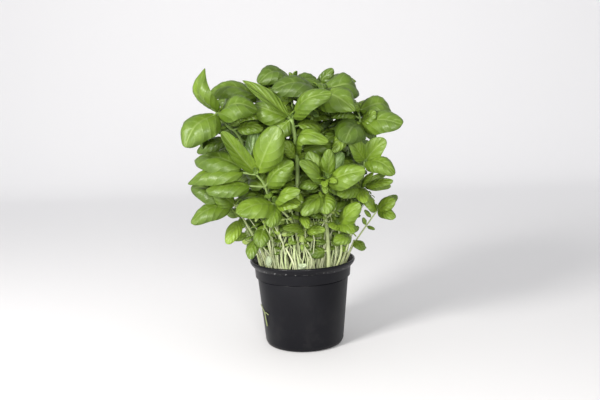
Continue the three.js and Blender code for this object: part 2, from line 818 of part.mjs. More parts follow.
// Materials
const potPlastic = new THREE.MeshStandardMaterial({ color: 0x2b2b2e, roughness: 0.38, metalness: 0 });
const peat = new THREE.MeshStandardMaterial({ color: 0x2a1c12, roughness: 0.95, metalness: 0 });
const basilGreen = new THREE.MeshStandardMaterial({ color: 0x5f9426, roughness: 0.42, metalness: 0 });
const seedlingGreen = new THREE.MeshStandardMaterial({ color: 0x9bb44e, roughness: 0.5, metalness: 0 });

const plant = new THREE.Group();
plant.add(meshOf("pot", pot, potPlastic));

// What stands already: the pot, and then each stem and leaf as it finds its place
const standing = [];
function boxOf(solid) {
  const positions = solid.getMesh().vertProperties;
  const box = new THREE.Box3();
  for (let i = 0; i < positions.length; i += 3) {
    box.expandByPoint(new THREE.Vector3(positions[i], positions[i + 1], positions[i + 2]));
  }
  return box;
}
function stand(owner, solid) {
  standing.push({ owner, solid, box: boxOf(solid) });
}
function crosses(solid, isMet) {
  const box = boxOf(solid);
  return standing.some(
    (piece) => isMet(piece) && piece.box.intersectsBox(box) && !piece.solid.intersect(solid).isEmpty(),
  );
}
stand("pot", pot);

// Every stem finds its place before any leaf, and a young plant whose stem has no room doesn't come up
const grown = [];
for (const shoot of [...frontShoots, ...backShoots, ...seedlings]) {
  const isYoung = seedlings.includes(shoot);
  if (isYoung && crosses(stemSolid(shoot, CLEAR_OF_OTHERS), () => true)) continue;
  const stem = stemSolid(shoot);
  stand(shoot.name, stem);
  grown.push({ shoot, stem, leaves: [] });
}

// A leaf takes the first of its bends in which it clears everything, and where none does it is left out
for (const { shoot, leaves } of grown) {
  const ownBlades = [];
  for (const whorl of shoot.whorls) {
    const start = vector(whorl.at);
    for (const asked of whorl.leaves) {
      const ways = SHRINKS.flatMap((shrink) => BENDS.map((bend) => bentLeaf(asked, start, bend, shrink)));
      const clear = ways.find((way) => {
        const blade = leafSolid(way, start, CLEAR_OF_OWN, true);
        const box = boxOf(blade);
        if (ownBlades.some((own) => own.box.intersectsBox(box) && !own.solid.intersect(blade).isEmpty())) {
          return false;
        }
        if (crosses(blade, (piece) => piece.owner === shoot.name)) return false;
        return !crosses(leafSolid(way, start, CLEAR_OF_OTHERS), (piece) => piece.owner !== shoot.name);
      });
      if (!clear) continue;
      const blade = leafSolid(clear, start, 0, true);
      ownBlades.push({ solid: blade, box: boxOf(blade) });
      leaves.push(leafSolid(clear, start));
    }
  }
  for (const whole of leaves) stand(`${shoot.name} leaves`, whole);
}

// Peat, filled to below the rim, with a plain hole for each stem
let soil = turned([
  [0, FLOOR_THICK + SOIL_GAP], [BASE_RADIUS - 1, FLOOR_THICK + SOIL_GAP],
  [WALL_FOOT_RADIUS - POT_WALL - SOIL_GAP, WALL_FOOT_HEIGHT + 1.2],
  [WALL_TOP_RADIUS - POT_WALL - SOIL_GAP, LEDGE_HEIGHT + 1.2],
  [COLLAR_INSIDE - SOIL_GAP, LEDGE_HEIGHT + 2.9], [COLLAR_INSIDE - SOIL_GAP, SOIL_HEIGHT - 1.5],
  [BASE_RADIUS, SOIL_HEIGHT - 0.6], [0, SOIL_HEIGHT],
]);
for (const { shoot } of grown) {
  const radius = (shoot.thick / 2 + HOLE_GAP) / Math.cos(Math.PI / HOLE_SIDES);
  const low = SOIL_HEIGHT - ROOT_DEPTH - HOLE_GAP;
  soil = soil.subtract(prism(shoot.base[0], shoot.base[1], low, SOIL_HEIGHT + 2, radius, HOLE_SIDES));
}
plant.add(meshOf("soil", soil, peat));

const sprout = sproutSolid(SPROUT_STEM).add(sproutSolid(SPROUT_BRANCH));
plant.add(meshOf("stray_sprout", sprout, seedlingGreen));

// Each leafy stem with its leaves is one body
for (const { shoot, stem, leaves } of grown) {
  const whole = leaves.reduce((sum, piece) => sum.add(piece), stem);
  const material = shoot.name.startsWith("seedling") ? seedlingGreen : basilGreen;
  plant.add(meshOf(shoot.name, whole, material));
}

export default plant;
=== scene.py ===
# Potted basil: a black plastic herb pot of peat with a dense clump of leafy basil stems.
# Sizes are given in millimetres, as in the part, and become metres when a mesh is made. Materials read
# Object coordinates, so the scales of their noise are per metre.
import functools
import math

import bpy
import numpy as np
from mathutils import Matrix, Vector, noise
from mathutils.bvhtree import BVHTree
from mathutils.kdtree import KDTree


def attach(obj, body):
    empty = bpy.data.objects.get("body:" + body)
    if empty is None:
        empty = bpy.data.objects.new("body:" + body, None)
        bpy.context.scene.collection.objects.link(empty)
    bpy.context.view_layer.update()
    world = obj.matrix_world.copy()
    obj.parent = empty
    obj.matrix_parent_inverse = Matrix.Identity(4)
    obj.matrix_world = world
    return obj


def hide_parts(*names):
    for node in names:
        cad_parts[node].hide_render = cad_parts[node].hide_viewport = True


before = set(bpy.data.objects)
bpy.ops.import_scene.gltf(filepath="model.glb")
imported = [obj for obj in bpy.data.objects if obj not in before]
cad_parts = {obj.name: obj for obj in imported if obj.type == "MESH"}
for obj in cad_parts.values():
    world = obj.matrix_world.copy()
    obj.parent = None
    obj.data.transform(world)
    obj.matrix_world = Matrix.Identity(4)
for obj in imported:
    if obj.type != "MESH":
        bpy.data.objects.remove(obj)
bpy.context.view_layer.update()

MM = 0.001


# Pot
# One cup of black polypropylene, moulded in one shot: a flared lip, a collar below it, a ledge on which
# stacked pots rest, and a tapered wall down to a rounded foot, with drain holes in its floor.
POT_SIDES = 144

# The cup's outline by radius and height, outside from the foot to the lip, and back inside to the floor
POT_OUTSIDE = [
    (35.5, 0), (38.1, 1.2), (39.4, 4), (45.5, 67.5), (44.9, 67.9), (44.9, 68.7), (47.5, 69.1), (48.2, 78.4),
    (49.8, 80), (51.2, 81.6), (52.2, 83.2), (52.55, 84.4), (52.45, 85.3), (52, 85.8), (51.4, 86),
]
POT_INSIDE = [
    (50.8, 85.9), (50.35, 85.3), (50.1, 84.2), (48.4, 81.2), (46.9, 79), (46.3, 70.9), (44.3, 69.5),
    (38.1, 4.4), (36.5, 1.6),
]
POT_ROUNDING = 0.5
ROUNDED_FROM = math.radians(14)
SMOOTH_BELOW = math.radians(38)
DRAIN_HOLES = 6
DRAIN_RADIUS = 3.5
DRAIN_CIRCLE = 26
DRAIN_DEPTH = 8
DRAIN_SIDES = 24

# Where the plastic's dust ends, where the lip's gloss begins and is full, and the band of pale specks under
# the lip, partly dust and partly painted glints, which fades in and out between four heights
DUST_TOP = 60
LIP_GLOSS = (79.5, 82.5)
LIP_SPECK_GLINT_BAND = (79, 79.6, 80.6, 81.2)
LIP_SPECK_GLINT_COLOUR = (0.42, 0.42, 0.42, 1)
DUST_COLOUR = (0.2, 0.19, 0.17, 1)
PLASTIC_STOPS = [(0.3, 0.001, 0.001, 0.0025), (0.7, 0.003, 0.003, 0.005)]


def node(tree, kind, inputs=None, **settings):
    """A shader node with its settings, and its inputs set to values or linked to other nodes' outputs."""
    made = tree.nodes.new(kind)
    for name, value in settings.items():
        setattr(made, name, value)
    for key, value in (inputs or {}).items():
        if isinstance(value, bpy.types.NodeSocket):
            tree.links.new(value, made.inputs[key])
        else:
            made.inputs[key].default_value = value
    return made


def new_material(name):
    """An empty material and its node tree."""
    material = bpy.data.materials.new(name)
    material.use_nodes = True
    material.node_tree.nodes.clear()
    return material, material.node_tree


def ramp(tree, factor, stops):
    """A colour ramp through (place, red, green, blue) stops."""
    made = node(tree, "ShaderNodeValToRGB", {0: factor})
    elements = made.color_ramp.elements
    while len(elements) < len(stops):
        elements.new(0.5)
    for element, (place, *colour) in zip(elements, stops):
        element.position = place
        element.color = (*colour, 1)
    return made.outputs["Color"]


def span(tree, value, low, high, to_low=0.0, to_high=1.0):
    """A value taken from one range to another, and held at its ends."""
    limits = {1: low, 2: high, 3: to_low, 4: to_high}
    return node(tree, "ShaderNodeMapRange", {0: value, **limits}).outputs[0]


def math_of(tree, operation, *values):
    """The result of a Math node on values or outputs."""
    return node(tree, "ShaderNodeMath", dict(enumerate(values)), operation=operation).outputs[0]


def mix(tree, factor, first, second):
    """A colour between two others."""
    return node(tree, "ShaderNodeMix", {0: factor, 6: first, 7: second}, data_type="RGBA").outputs[2]


def cloud(tree, place, scale, detail=3.0, rough=0.5):
    """Soft noise in all three directions."""
    inputs = {"Vector": place, "Scale": scale, "Detail": detail, "Roughness": rough}
    return node(tree, "ShaderNodeTexNoise", inputs).outputs["Fac"]


def object_place(tree, stretch=(1, 1, 1)):
    coordinates = node(tree, "ShaderNodeTexCoord").outputs["Object"]
    return node(tree, "ShaderNodeMapping", {"Vector": coordinates, "Scale": stretch}).outputs["Vector"]


def object_height(tree):
    return node(tree, "ShaderNodeSeparateXYZ", {0: object_place(tree)}).outputs["Z"]


def plain_surface(tree, inputs):
    """The usual end of a material: one principled shader with these inputs."""
    surface = node(tree, "ShaderNodeBsdfPrincipled", inputs)
    node(tree, "ShaderNodeOutputMaterial", {"Surface": surface.outputs[0]})


def select_only(thing=None):
    """Everything deselected, and then this thing selected and made active."""
    for other in bpy.context.selected_objects:
        other.select_set(False)
    if thing:
        bpy.context.view_layer.objects.active = thing
        thing.select_set(True)


def apply_modifier(thing, kind, **settings):
    """A modifier of this kind with these settings, applied at once."""
    select_only(thing)
    modifier = thing.modifiers.new(kind.lower(), kind)
    for name, value in settings.items():
        setattr(modifier, name, value)
    bpy.ops.object.modifier_apply(modifier=modifier.name)


def turned_shell(name, profile, sides):
    """A closed turned solid: a filled disc, drawn out ring by ring through places by radius and height."""
    select_only()
    radius, height = profile[0]
    bpy.ops.mesh.primitive_circle_add(
        vertices=sides, radius=radius * MM, fill_type="NGON", location=(0, 0, height * MM)
    )
    shell = bpy.context.object
    shell.name = shell.data.name = name
    bpy.ops.object.transform_apply(location=True)
    bpy.ops.object.mode_set(mode="EDIT")
    bpy.ops.mesh.select_all(action="SELECT")
    for next_radius, next_height in profile[1:]:
        rise = (next_height - height) * MM
        bpy.ops.mesh.extrude_region_move(TRANSFORM_OT_translate={"value": (0, 0, rise)})
        share = next_radius / radius
        bpy.ops.transform.resize(value=(share, share, 1), center_override=(0, 0, next_height * MM))
        radius, height = next_radius, next_height
    bpy.ops.mesh.select_all(action="SELECT")
    bpy.ops.mesh.normals_make_consistent(inside=False)
    bpy.ops.object.mode_set(mode="OBJECT")
    return shell


def black_plastic():
    """Moulded plastic with a faint drawn grain, thin dust near its foot, and pale specks under its lip,
    partly dust and partly painted glints.
    """
    material, tree = new_material("charcoal polypropylene")
    place = object_place(tree)
    height = object_height(tree)
    broad = cloud(tree, place, scale=28, detail=4)
    patches = span(tree, cloud(tree, place, scale=60, detail=6, rough=0.65), 0.52, 0.8)
    dust = math_of(tree, "MULTIPLY", span(tree, height, DUST_TOP * MM, 0.0), patches)
    body = ramp(tree, broad, PLASTIC_STOPS)
    dusty = mix(tree, span(tree, dust, 0, 1, 0, 0.05), body, DUST_COLOUR)

    # Pale specks in a band under the lip: partly dust, partly painted glints of the lamps on its edge
    fade_in, full, still_full, fade_out = (MM * edge for edge in LIP_SPECK_GLINT_BAND)
    under_lip = math_of(
        tree, "MULTIPLY", span(tree, height, fade_in, full), span(tree, height, fade_out, still_full)
    )
    specks = node(tree, "ShaderNodeTexVoronoi", {"Vector": place, "Scale": 620}).outputs["Distance"]
    specks = math_of(tree, "MULTIPLY", span(tree, specks, 0.34, 0.2), under_lip)
    here_and_there = span(tree, cloud(tree, place, scale=210, detail=2), 0.5, 0.58)
    specks_and_painted_glints = math_of(tree, "MULTIPLY", specks, here_and_there)
    colour = mix(tree, specks_and_painted_glints, dusty, LIP_SPECK_GLINT_COLOUR)

    drawn = cloud(tree, object_place(tree, (1, 1, 0.1)), scale=160, detail=2)
    fine = math_of(tree, "ADD", drawn, cloud(tree, place, scale=900, detail=2))
    bump = node(tree, "ShaderNodeBump", {"Strength": 0.1, "Distance": 0.0004, "Height": fine})
    inputs = {
        "Base Color": colour,
        "Roughness": span(tree, broad, 0.25, 0.75, 0.4, 0.52),
        "Normal": bump.outputs[0],
        "Specular IOR Level": 0.16,
        "Coat Weight": span(tree, height, *(MM * edge for edge in LIP_GLOSS), 0.15, 0.25),
        "Coat Roughness": 0.1,
        "Coat IOR": 1.3,
    }
    plain_surface(tree, inputs)
    return material


pot = turned_shell("pot_shell", POT_OUTSIDE + POT_INSIDE, POT_SIDES)
apply_modifier(
    pot, "BEVEL", width=POT_ROUNDING * MM, segments=3, limit_method="ANGLE", angle_limit=ROUNDED_FROM
)
for hole in range(DRAIN_HOLES):
    angle = 2 * math.pi * hole / DRAIN_HOLES
    select_only()
    bpy.ops.mesh.primitive_cylinder_add(
        vertices=DRAIN_SIDES,
        radius=DRAIN_RADIUS * MM,
        depth=DRAIN_DEPTH * MM,
        location=(DRAIN_CIRCLE * MM * math.cos(angle), DRAIN_CIRCLE * MM * math.sin(angle), 0),
    )
    cutter = bpy.context.object
    apply_modifier(pot, "BOOLEAN", object=cutter, operation="DIFFERENCE", solver="EXACT")
    bpy.data.objects.remove(cutter)
select_only(pot)
bpy.ops.object.shade_smooth_by_angle(angle=SMOOTH_BELOW)
pot.data.materials.clear()
pot.data.materials.append(black_plastic())
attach(pot, "root")
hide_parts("pot")


# Peat
# Dark moist peat, filled to a finger's width below the rim. Its top is rough, with loose crumbs and a few
# pale grains of perlite between the stems.
PEAT_PROFILE = [(35.5, 2), (37.7, 5.2), (43.9, 69.7), (45.9, 71.4), (45.9, 74.2)]
PEAT_TOP = 75.2
PEAT_EDGE = 45.9
PEAT_LEVEL_EDGE = 4
PEAT_SLOPE = 1
PEAT_RINGS = 40
PEAT_SIDES = 120
PEAT_SMOOTH_BELOW = math.radians(50)
PEAT_STOPS = [(0.3, 0.010, 0.006, 0.003), (0.55, 0.030, 0.018, 0.010), (0.8, 0.08, 0.05, 0.028)]

# The lumps of the peat's top, by their size and their height
PEAT_LUMPS = [(9.0, 0.8), (3.4, 0.7), (1.5, 0.4)]

# Loose crumbs and perlite: how many, how large, how rough, how far from the wall, and where perlite lies in
# heaps. The power makes most crumbs small.
CRUMBS = 900
CRUMB_SIZES = (0.6, 2.5)
MOSTLY_SMALL = 2.5
CRUMB_STOPS = [(0.3, 0.014, 0.008, 0.004), (0.6, 0.045, 0.028, 0.015), (0.85, 0.13, 0.09, 0.05)]
PERLITE = 46
PERLITE_SIZES = (0.9, 2.4)
PERLITE_HEAPS = [(-17, -43), (-14, -44), (14, -44)]
PERLITE_HEAP_SPREAD = 1.1
PERLITE_IN_HEAP = 4
PERLITE_STOPS = [(0.3, 0.42, 0.40, 0.34), (0.6, 0.62, 0.60, 0.54), (0.85, 0.75, 0.74, 0.70)]
GRAIN_FROM_WALL = 1.5
PERLITE_FROM_WALL = 2
GRAIN_DENTS = (0.7, 1.25)
GRAIN_SQUASH = (0.6, 1.1)
GRAIN_TURN = 6.28
GRAIN_LIFT = 0.35

rng = np.random.default_rng(31)


def peat_height(x, y):
    """The rough top of the peat, made of three sizes of lump. At the wall it is level and lower."""
    edge = min(1, (PEAT_EDGE - math.hypot(x, y)) / PEAT_LEVEL_EDGE)
    lumps = sum(height * noise.noise(Vector((x / size, y / size, size))) for size, height in PEAT_LUMPS)
    return PEAT_TOP - PEAT_SLOPE + edge * (PEAT_SLOPE + lumps)


def peat_material(name, stops):
    """Dull crumbly matter with fine fibres, in the colours of these stops."""
    material, tree = new_material(name)
    colour = ramp(tree, cloud(tree, object_place(tree), scale=420, detail=6, rough=0.7), stops)
    fibre = cloud(tree, object_place(tree, (1, 3, 1)), scale=1500, detail=4)
    bump = node(tree, "ShaderNodeBump", {"Strength": 0.7, "Distance": 0.0006, "Height": fibre})
    inputs = {"Base Color": colour, "Roughness": 0.9, "Normal": bump.outputs[0], "Specular IOR Level": 0.3}
    plain_surface(tree, inputs)
    return material


rings = [(PEAT_EDGE * (1 - ring / PEAT_RINGS), PEAT_PROFILE[-1][1]) for ring in range(1, PEAT_RINGS)]
peat = turned_shell("peat_fill", PEAT_PROFILE + rings, PEAT_SIDES)
for vertex in peat.data.vertices:
    x, y, z = vertex.co / MM
    if z > PEAT_PROFILE[-2][1] + 1:
        vertex.co.z = peat_height(x, y) * MM
select_only(peat)
bpy.ops.object.shade_smooth_by_angle(angle=PEAT_SMOOTH_BELOW)
peat.data.materials.append(peat_material("dark moist peat", PEAT_STOPS))
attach(peat, "root")
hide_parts("soil")


def scattered_grains(name, places, sizes, material):
    """Loose grains on the peat: one rough low ball, copied with its own turn and squash for each."""
    select_only()
    bpy.ops.mesh.primitive_ico_sphere_add(subdivisions=1, radius=1)
    ball = bpy.context.object
    corners = np.array([vertex.co for vertex in ball.data.vertices])
    faces = np.array([face.vertices for face in ball.data.polygons])
    bpy.data.objects.remove(ball)
    all_corners, all_faces = [], []
    for (x, y), size in zip(places, sizes):
        rough = corners * rng.uniform(*GRAIN_DENTS, (len(corners), 1)) * rng.uniform(*GRAIN_SQUASH, 3)
        turn = np.array(Matrix.Rotation(rng.uniform(0, GRAIN_TURN), 3, Vector(rng.normal(size=3))))
        centre = np.array((x, y, peat_height(x, y) + GRAIN_LIFT * size))
        all_faces.append(faces + len(corners) * len(all_corners))
        all_corners.append(rough @ turn.T * size / 2 + centre)
    mesh = bpy.data.meshes.new(name)
    mesh.from_pydata(np.vstack(all_corners) * MM, [], np.vstack(all_faces).tolist())
    grains = bpy.data.objects.new(name, mesh)
    bpy.context.scene.collection.objects.link(grains)
    mesh.materials.append(material)
    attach(grains, "root")


def scattered_places(count, reach):
    """Places spread evenly over a round patch."""
    turns = rng.uniform(0, 2 * math.pi, count)
    reaches = reach * np.sqrt(rng.uniform(0, 1, count))
    return list(zip(reaches * np.cos(turns), reaches * np.sin(turns)))


smallest, largest = CRUMB_SIZES
scattered_grains(
    "peat_crumbs",
    scattered_places(CRUMBS, PEAT_EDGE - GRAIN_FROM_WALL),
    smallest + (largest - smallest) * rng.uniform(0, 1, CRUMBS) ** MOSTLY_SMALL,
    peat_material("loose peat crumbs", CRUMB_STOPS),
)
perlite_places = scattered_places(PERLITE, PEAT_EDGE - PERLITE_FROM_WALL)
for x, y in PERLITE_HEAPS:
    heap = rng.normal(0, PERLITE_HEAP_SPREAD, (PERLITE_IN_HEAP, 2))
    perlite_places += [(x + dx, y + dy) for dx, dy in heap]
perlite_places = [(x, y) for x, y in perlite_places if math.hypot(x, y) < PEAT_EDGE - GRAIN_FROM_WALL]
scattered_grains(
    "perlite_grains",
    perlite_places,
    rng.uniform(*PERLITE_SIZES, len(perlite_places)),
    peat_material("pale perlite", PERLITE_STOPS),
)


# Leafy stems
# Soft green growth, each stem one body with its leaf stalks and leaves: a squarish stem that is pale at
# its foot, and domed, glossy blades with sunk veins. They have the places of the part's stems and leaves.
STEM_SIDES = 12
STEM_STEPS = 9
FOOT_HEIGHT = 68
COLLAR_HEIGHT = 77.5
STEM_TAPER = 0.6
NODE_SWELL = 1.18
SQUARE_STEM = 0.07

# A blade's half thickness, and the sideways bow of its midrib as a share of its length
LEAF_HALF_THICK = 0.28
BOW = 0.05

# The powers that shape a blade's outline: the first puts its broadest place before its middle, and the
# others say how full it is at its base, at a blunt tip and at a pointed tip
BROAD_BEFORE_MIDDLE = 0.85
FULL_BASE = 0.54
BLUNT_TIP = 0.41
POINTED_TIP = 0.86

# The relief of a blade as shares of its half width: its dome, the groove of its midrib and how wide that
# is, the swellings between its veins, its turned-down edge and its wavy edge
DOME = 0.09
MIDRIB_GROOVE = 0.07
MIDRIB_WIDE = 0.09
SWELLING = 0.066
TURNED_EDGE = 0.12
WAVY_EDGE = 0.06

# A leaf's colour is brighter by these along its midrib and at its base, and darker by the last all over
MIDRIB_BRIGHTER = 0.14
BASE_BRIGHTER = 0.1
ALL_DARKER = 0.12

# The side veins of a half blade: how many, how they slant and curl, and how many fit the leaf's UV map
VEINS = (4.4, 5.8)
VEIN_SLANT = 0.3
VEIN_CURL = 0.12
VEIN_SCALE = 10

# The rings and sides of each mesh, finer on large blades than on leaves under this width
SMALL_LEAF = 17
BLADE_NET = (40, 36)
STALK_NET = (20, 8)
SMALL_STALK_NET = (12, 8)
YOUNG_NET = (14, 16)

# Two crossed pairs of folded leaves at a growing tip, by length, width, pitch and tone, with how their sizes
# and headings vary, and then the side buds, which face outward and up
TIP_PAIRS = [(11, 6.5, 0.75, 0.85), (7, 3.8, 1.05, 1.0)]
TIP_CUP = 1.1
TIP_SIZES = (0.8, 1.2)
TIP_TURNS = (-0.3, 0.3)
YOUNG_ARCH = 0.12
YOUNG_STALK = 0.08
BUD_LENGTHS = (7, 14)
BUD_PITCHES = (0, 0.6)
BUD_TONES = (0.5, 0.85)
BUD_SLIMNESS = 0.6
OUTWARD_DROOP = 0.8
LIT_OUTWARD = 0.75
LIT_UPWARD = 0.6
FACE_SCATTER = 0.15

# How thick the part's leaves are by half, how near one of its corners has to be to match a leaf's tip, and
# how the part may bend a leaf clear of its neighbours or shrink it, in the part's own order
CAD_HALF_THICK = 0.4
MATCH = 0.06
BENDS = [
    (0, 0, 0), (0, -5, 0), (0, 5, 0), (0, 0, 5), (0, 0, -5), (0, -10, 0), (0, 10, 0),
    (0, -8, 7), (0, 8, 7), (0, -8, -7), (0, 8, -7), (5, 0, 0), (-5, 0, 0), (0, 0, 12),
    (0, 0, -12), (0, -16, 0), (0, 16, 0), (9, 0, 6), (-9, 0, 6), (9, 0, -6), (-9, 0, -6),
    (0, 0, -20), (14, 0, 0), (-14, 0, 0), (14, 14, 0), (-14, 14, 0), (0, 24, 0),
]
SHRINKS = [1, 0.8, 0.62]


def leaf(tip, face, wide, arch, cup, stalk, tone=0.5, point=0.12):
    """A leaf by its tip, the way it faces, its width, how its midrib rises per length, the turn of each
    half, the stalk's share of its length, its tone from dark at 0 to bright at 1, which is partly its
    own colour, dark when old and bright when young, and partly painted shade and light, and how
    pointed its tip is."""
    places = {"tip": tip, "face": face, "wide": wide, "arch": arch, "cup": cup, "stalk": stalk}
    return {**places, "tone": tone, "point": point}


def whorl(at, *leaves):
    """The leaves that start together from one place on a stem."""
    return {"at": at, "leaves": leaves}


def shoot(name, base, thick, whorls, taper=STEM_TAPER):
    """A stem by its place in the peat, its thickness, its whorls and how much of that is left at its top."""
    return {"name": name, "base": base, "thick": thick, "whorls": whorls, "taper": taper}


def unit(vectors):
    """Vectors made one long."""
    return vectors / np.linalg.norm(vectors, axis=-1, keepdims=True)


def midrib(blade, shares):
    """The line of a leaf's midrib, which rises towards its face, droops again at the tip and bows a little
    sideways."""
    chord = blade["end"] - blade["start"]
    length = np.linalg.norm(chord)
    lift = unit(blade["facing"] - chord * (blade["facing"] @ chord) / length**2)
    rise = blade["arch"] * length * np.sin(math.pi * np.maximum(shares, 0) ** 1.25)
    sway = blade["bow"] * length * np.sin(math.pi * shares)
    sideways = np.cross(chord, lift) / length
    return blade["start"] + np.outer(shares, chord) + np.outer(rise, lift) + np.outer(sway, sideways)


def leaf_frame(blade, shares):
    """Where the midrib runs at places along the leaf, and its directions across and out of the blade."""
    step = 0.01
    along = unit(midrib(blade, shares + step) - midrib(blade, shares - step))
    side = unit(np.cross(along, blade["facing"]))
    return midrib(blade, shares), side, np.cross(side, along)


def bent(asked, start, bend=(0, 0, 0), shrink=1):
    """A leaf set on its stem, with its tip bent aside and its length and width shrunk."""
    start = np.array(start, float)
    end = (np.array(asked["tip"], float) + bend - start) * shrink + start
    facing = unit(np.array(asked["face"], float))
    return {**asked, "start": start, "end": end, "facing": facing, "wide": asked["wide"] * shrink, "bow": 0}


def placed_leaves(grower):
    """The shoot's leaves in the bends that the part's model has, found by their tips. A leaf that found no
    room there isn't drawn here either."""
    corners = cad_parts[grower["name"]].data.vertices
    tree = KDTree(len(corners))
    for number, corner in enumerate(corners):
        tree.insert(corner.co / MM, number)
    tree.balance()
    placed = []
    for tier in grower["whorls"]:
        for asked in tier["leaves"]:
            for shrink in SHRINKS:
                for bend in BENDS:
                    way = bent(asked, tier["at"], bend, shrink)
                    centre, _, normal = leaf_frame(way, np.array([1.0]))
                    tip = centre[0] + normal[0] * CAD_HALF_THICK
                    if tree.find(tip)[2] < MATCH:
                        placed.append(way)
                        break
                else:
                    continue
                break
    return placed


@functools.cache
def ball_pattern(rings, sides):
    """A ball's corners by how far along it they lie and their cosine and sine round it, and its faces."""
    select_only()
    bpy.ops.mesh.primitive_uv_sphere_add(segments=sides, ring_count=rings)
    ball = bpy.context.object
    corners = np.array([vertex.co for vertex in ball.data.vertices])
    faces = [list(face.vertices) for face in ball.data.polygons]
    bpy.data.objects.remove(ball)
    along = np.arccos(np.clip(-corners[:, 2], -1, 1)) / math.pi
    reach = np.hypot(corners[:, 0], corners[:, 1])
    reach[reach < 1e-5] = np.inf
    return along, corners[:, 0] / reach, corners[:, 1] / reach, faces


def smooth_step(value, low, high):
    """A soft rise from 0 to 1 between two limits."""
    share = np.clip((value - low) / (high - low), 0, 1)
    return share * share * (3 - 2 * share)


def blade_part(blade, rings, sides, whim):
    """The blade: a flattened ball drawn along the midrib, arched across, domed between its sunk veins."""
    ball_along, across, over, faces = ball_pattern(rings, sides)
    # The rings lie closer together towards both ends, where the outline turns most
    along = ball_along - 0.08 * np.sin(2 * math.pi * ball_along)
    full_tip = BLUNT_TIP + (POINTED_TIP - BLUNT_TIP) * blade["point"]
    full = FULL_BASE + (full_tip - FULL_BASE) * smooth_step(along, 0.45, 0.95)
    profile = np.sin(math.pi * np.clip(along, 0, 1) ** BROAD_BEFORE_MIDDLE) ** full
    half = blade["wide"] / 2 * profile
    shares = blade["stalk"] + (1 - blade["stalk"]) * along
    centre, side, normal = leaf_frame(blade, shares)

    # Side veins at slightly uneven distances, and swellings between them that fade at the midrib and edge
    away = np.abs(across)
    spread = along + 0.03 * np.sin(2 * math.pi * (whim.uniform(1.1, 1.6) * along + whim.uniform(0, 1)))
    veins = whim.uniform(*VEINS)
    phase = veins * (spread - VEIN_SLANT * away - VEIN_CURL * away**2) + whim.uniform(0, 1)
    swelling = np.abs(np.sin(math.pi * phase)) ** 0.8
    between = smooth_step(away, 0.02, 0.3) * (1 - smooth_step(away, 0.5, 0.95))
    waves = whim.uniform(0.9, 1.7) * along + whim.uniform(0, 1) + 0.25 * np.sign(across)
    relief = (
        DOME * np.sin(math.pi * away**0.8)
        - MIDRIB_GROOVE * np.exp(-((away / MIDRIB_WIDE) ** 2))
        + SWELLING * swelling * between
        - TURNED_EDGE * smooth_step(away, 0.68, 1)
        + WAVY_EDGE * np.sin(2 * math.pi * waves) * away**2
    )

    # Each half turns down in an arc of the leaf's cup, and the relief and the skin stand square to it
    turn = across * blade["cup"]
    out = half * np.sin(turn) / blade["cup"]
    drop = half * (1 - np.cos(turn)) / blade["cup"]
    skin = LEAF_HALF_THICK * np.sign(over) * np.sqrt(np.abs(over))
    rise = half * relief + skin
    lean = np.cos(turn)[:, None] * normal + np.sin(turn)[:, None] * side
    corners = centre + out[:, None] * side - drop[:, None] * normal + rise[:, None] * lean
    return {
        "corners": corners,
        "faces": faces,
        "slot": 0,
        "tone": blade["tone"] + MIDRIB_BRIGHTER * (1 - away) + BASE_BRIGHTER * (1 - along) - ALL_DARKER,
        "under": smooth_step(-over, -0.2, 0.2),
        "map": np.column_stack((0.5 + 0.5 * across, phase / VEIN_SCALE)),
    }


def tube_part(points, radii, sides, square=0.0, tone=0.5):
    """A closed round or squarish rod along points."""
    along, across, over, faces = ball_pattern(len(points) + 1, sides)
    place = np.clip(np.rint(along * (len(points) + 1)).astype(int) - 1, 0, len(points) - 1)
    direction = unit(np.gradient(points, axis=0))
    side = unit(np.cross((0.05, 1, 0.02), direction))
    front = np.cross(direction, side)
    corner = 1 + square * (8 * across**4 - 8 * across**2 + 1)
    reach = (radii[place] * corner)[:, None]
    corners = points[place] + reach * (across[:, None] * side[place] + over[:, None] * front[place])
    flat = np.zeros(len(corners))
    return {
        "corners": corners,
        "faces": faces,
        "slot": 1,
        "tone": flat + tone,
        "under": flat,
        "map": np.column_stack((0.5 + 0.5 * across, along)),
    }


def stalk_part(blade, rings, sides):
    """The leaf's stalk, which runs on under the blade as its midrib and thins out near the tip."""
    shares = np.linspace(0, blade["stalk"] + (1 - blade["stalk"]) * 0.9, rings)
    centre, _, normal = leaf_frame(blade, shares)
    # The stalk is free up to where the blade starts, and from there it is thinner and half sunk in it
    free = 1 - smooth_step(shares, blade["stalk"] * 0.8, blade["stalk"] + 0.12)
    thick = min(1.0, 0.45 + blade["wide"] / 60)
    radii = thick * (0.28 + 0.72 * free) * (1 - 0.6 * smooth_step(shares, blade["stalk"], 1))
    sunk = (radii * 0.75 + 0.03 * blade["wide"] * (1 - free)) * (1 - free)
    return tube_part(centre - sunk[:, None] * normal, radii, sides, tone=blade["tone"])


def leaf_parts(blades, blade_net, stalk_net, whim):
    """Blades and their stalks, each with so many rings and sides."""
    parts = []
    for blade in blades:
        parts.append(blade_part(blade, *blade_net, whim))
        parts.append(stalk_part(blade, *stalk_net))
    return parts


def stem_line(grower, steps=STEM_STEPS):
    """The stem's curve: upright in its hole in the peat, and then smooth through all its whorls."""
    x, y = grower["base"]
    ties = np.array([(x, y, COLLAR_HEIGHT)] + [tier["at"] for tier in grower["whorls"]], float)
    before = 2 * ties[0] - ties[1]
    after = 2 * ties[-1] - ties[-2]
    ties = np.vstack((before, ties, after))
    points = [np.array((x, y, FOOT_HEIGHT), float), ties[1]]
    for number in range(1, len(ties) - 2):
        start, end = ties[number], ties[number + 1]
        leave = 0.5 * (end - ties[number - 1])
        arrive = 0.5 * (ties[number + 2] - start)
        for step in range(1, steps + 1):
            t = step / steps
            points.append(
                (2 * t**3 - 3 * t**2 + 1) * start
                + (t**3 - 2 * t**2 + t) * leave
                + (3 * t**2 - 2 * t**3) * end
                + (t**3 - t**2) * arrive
            )
    return np.array(points)


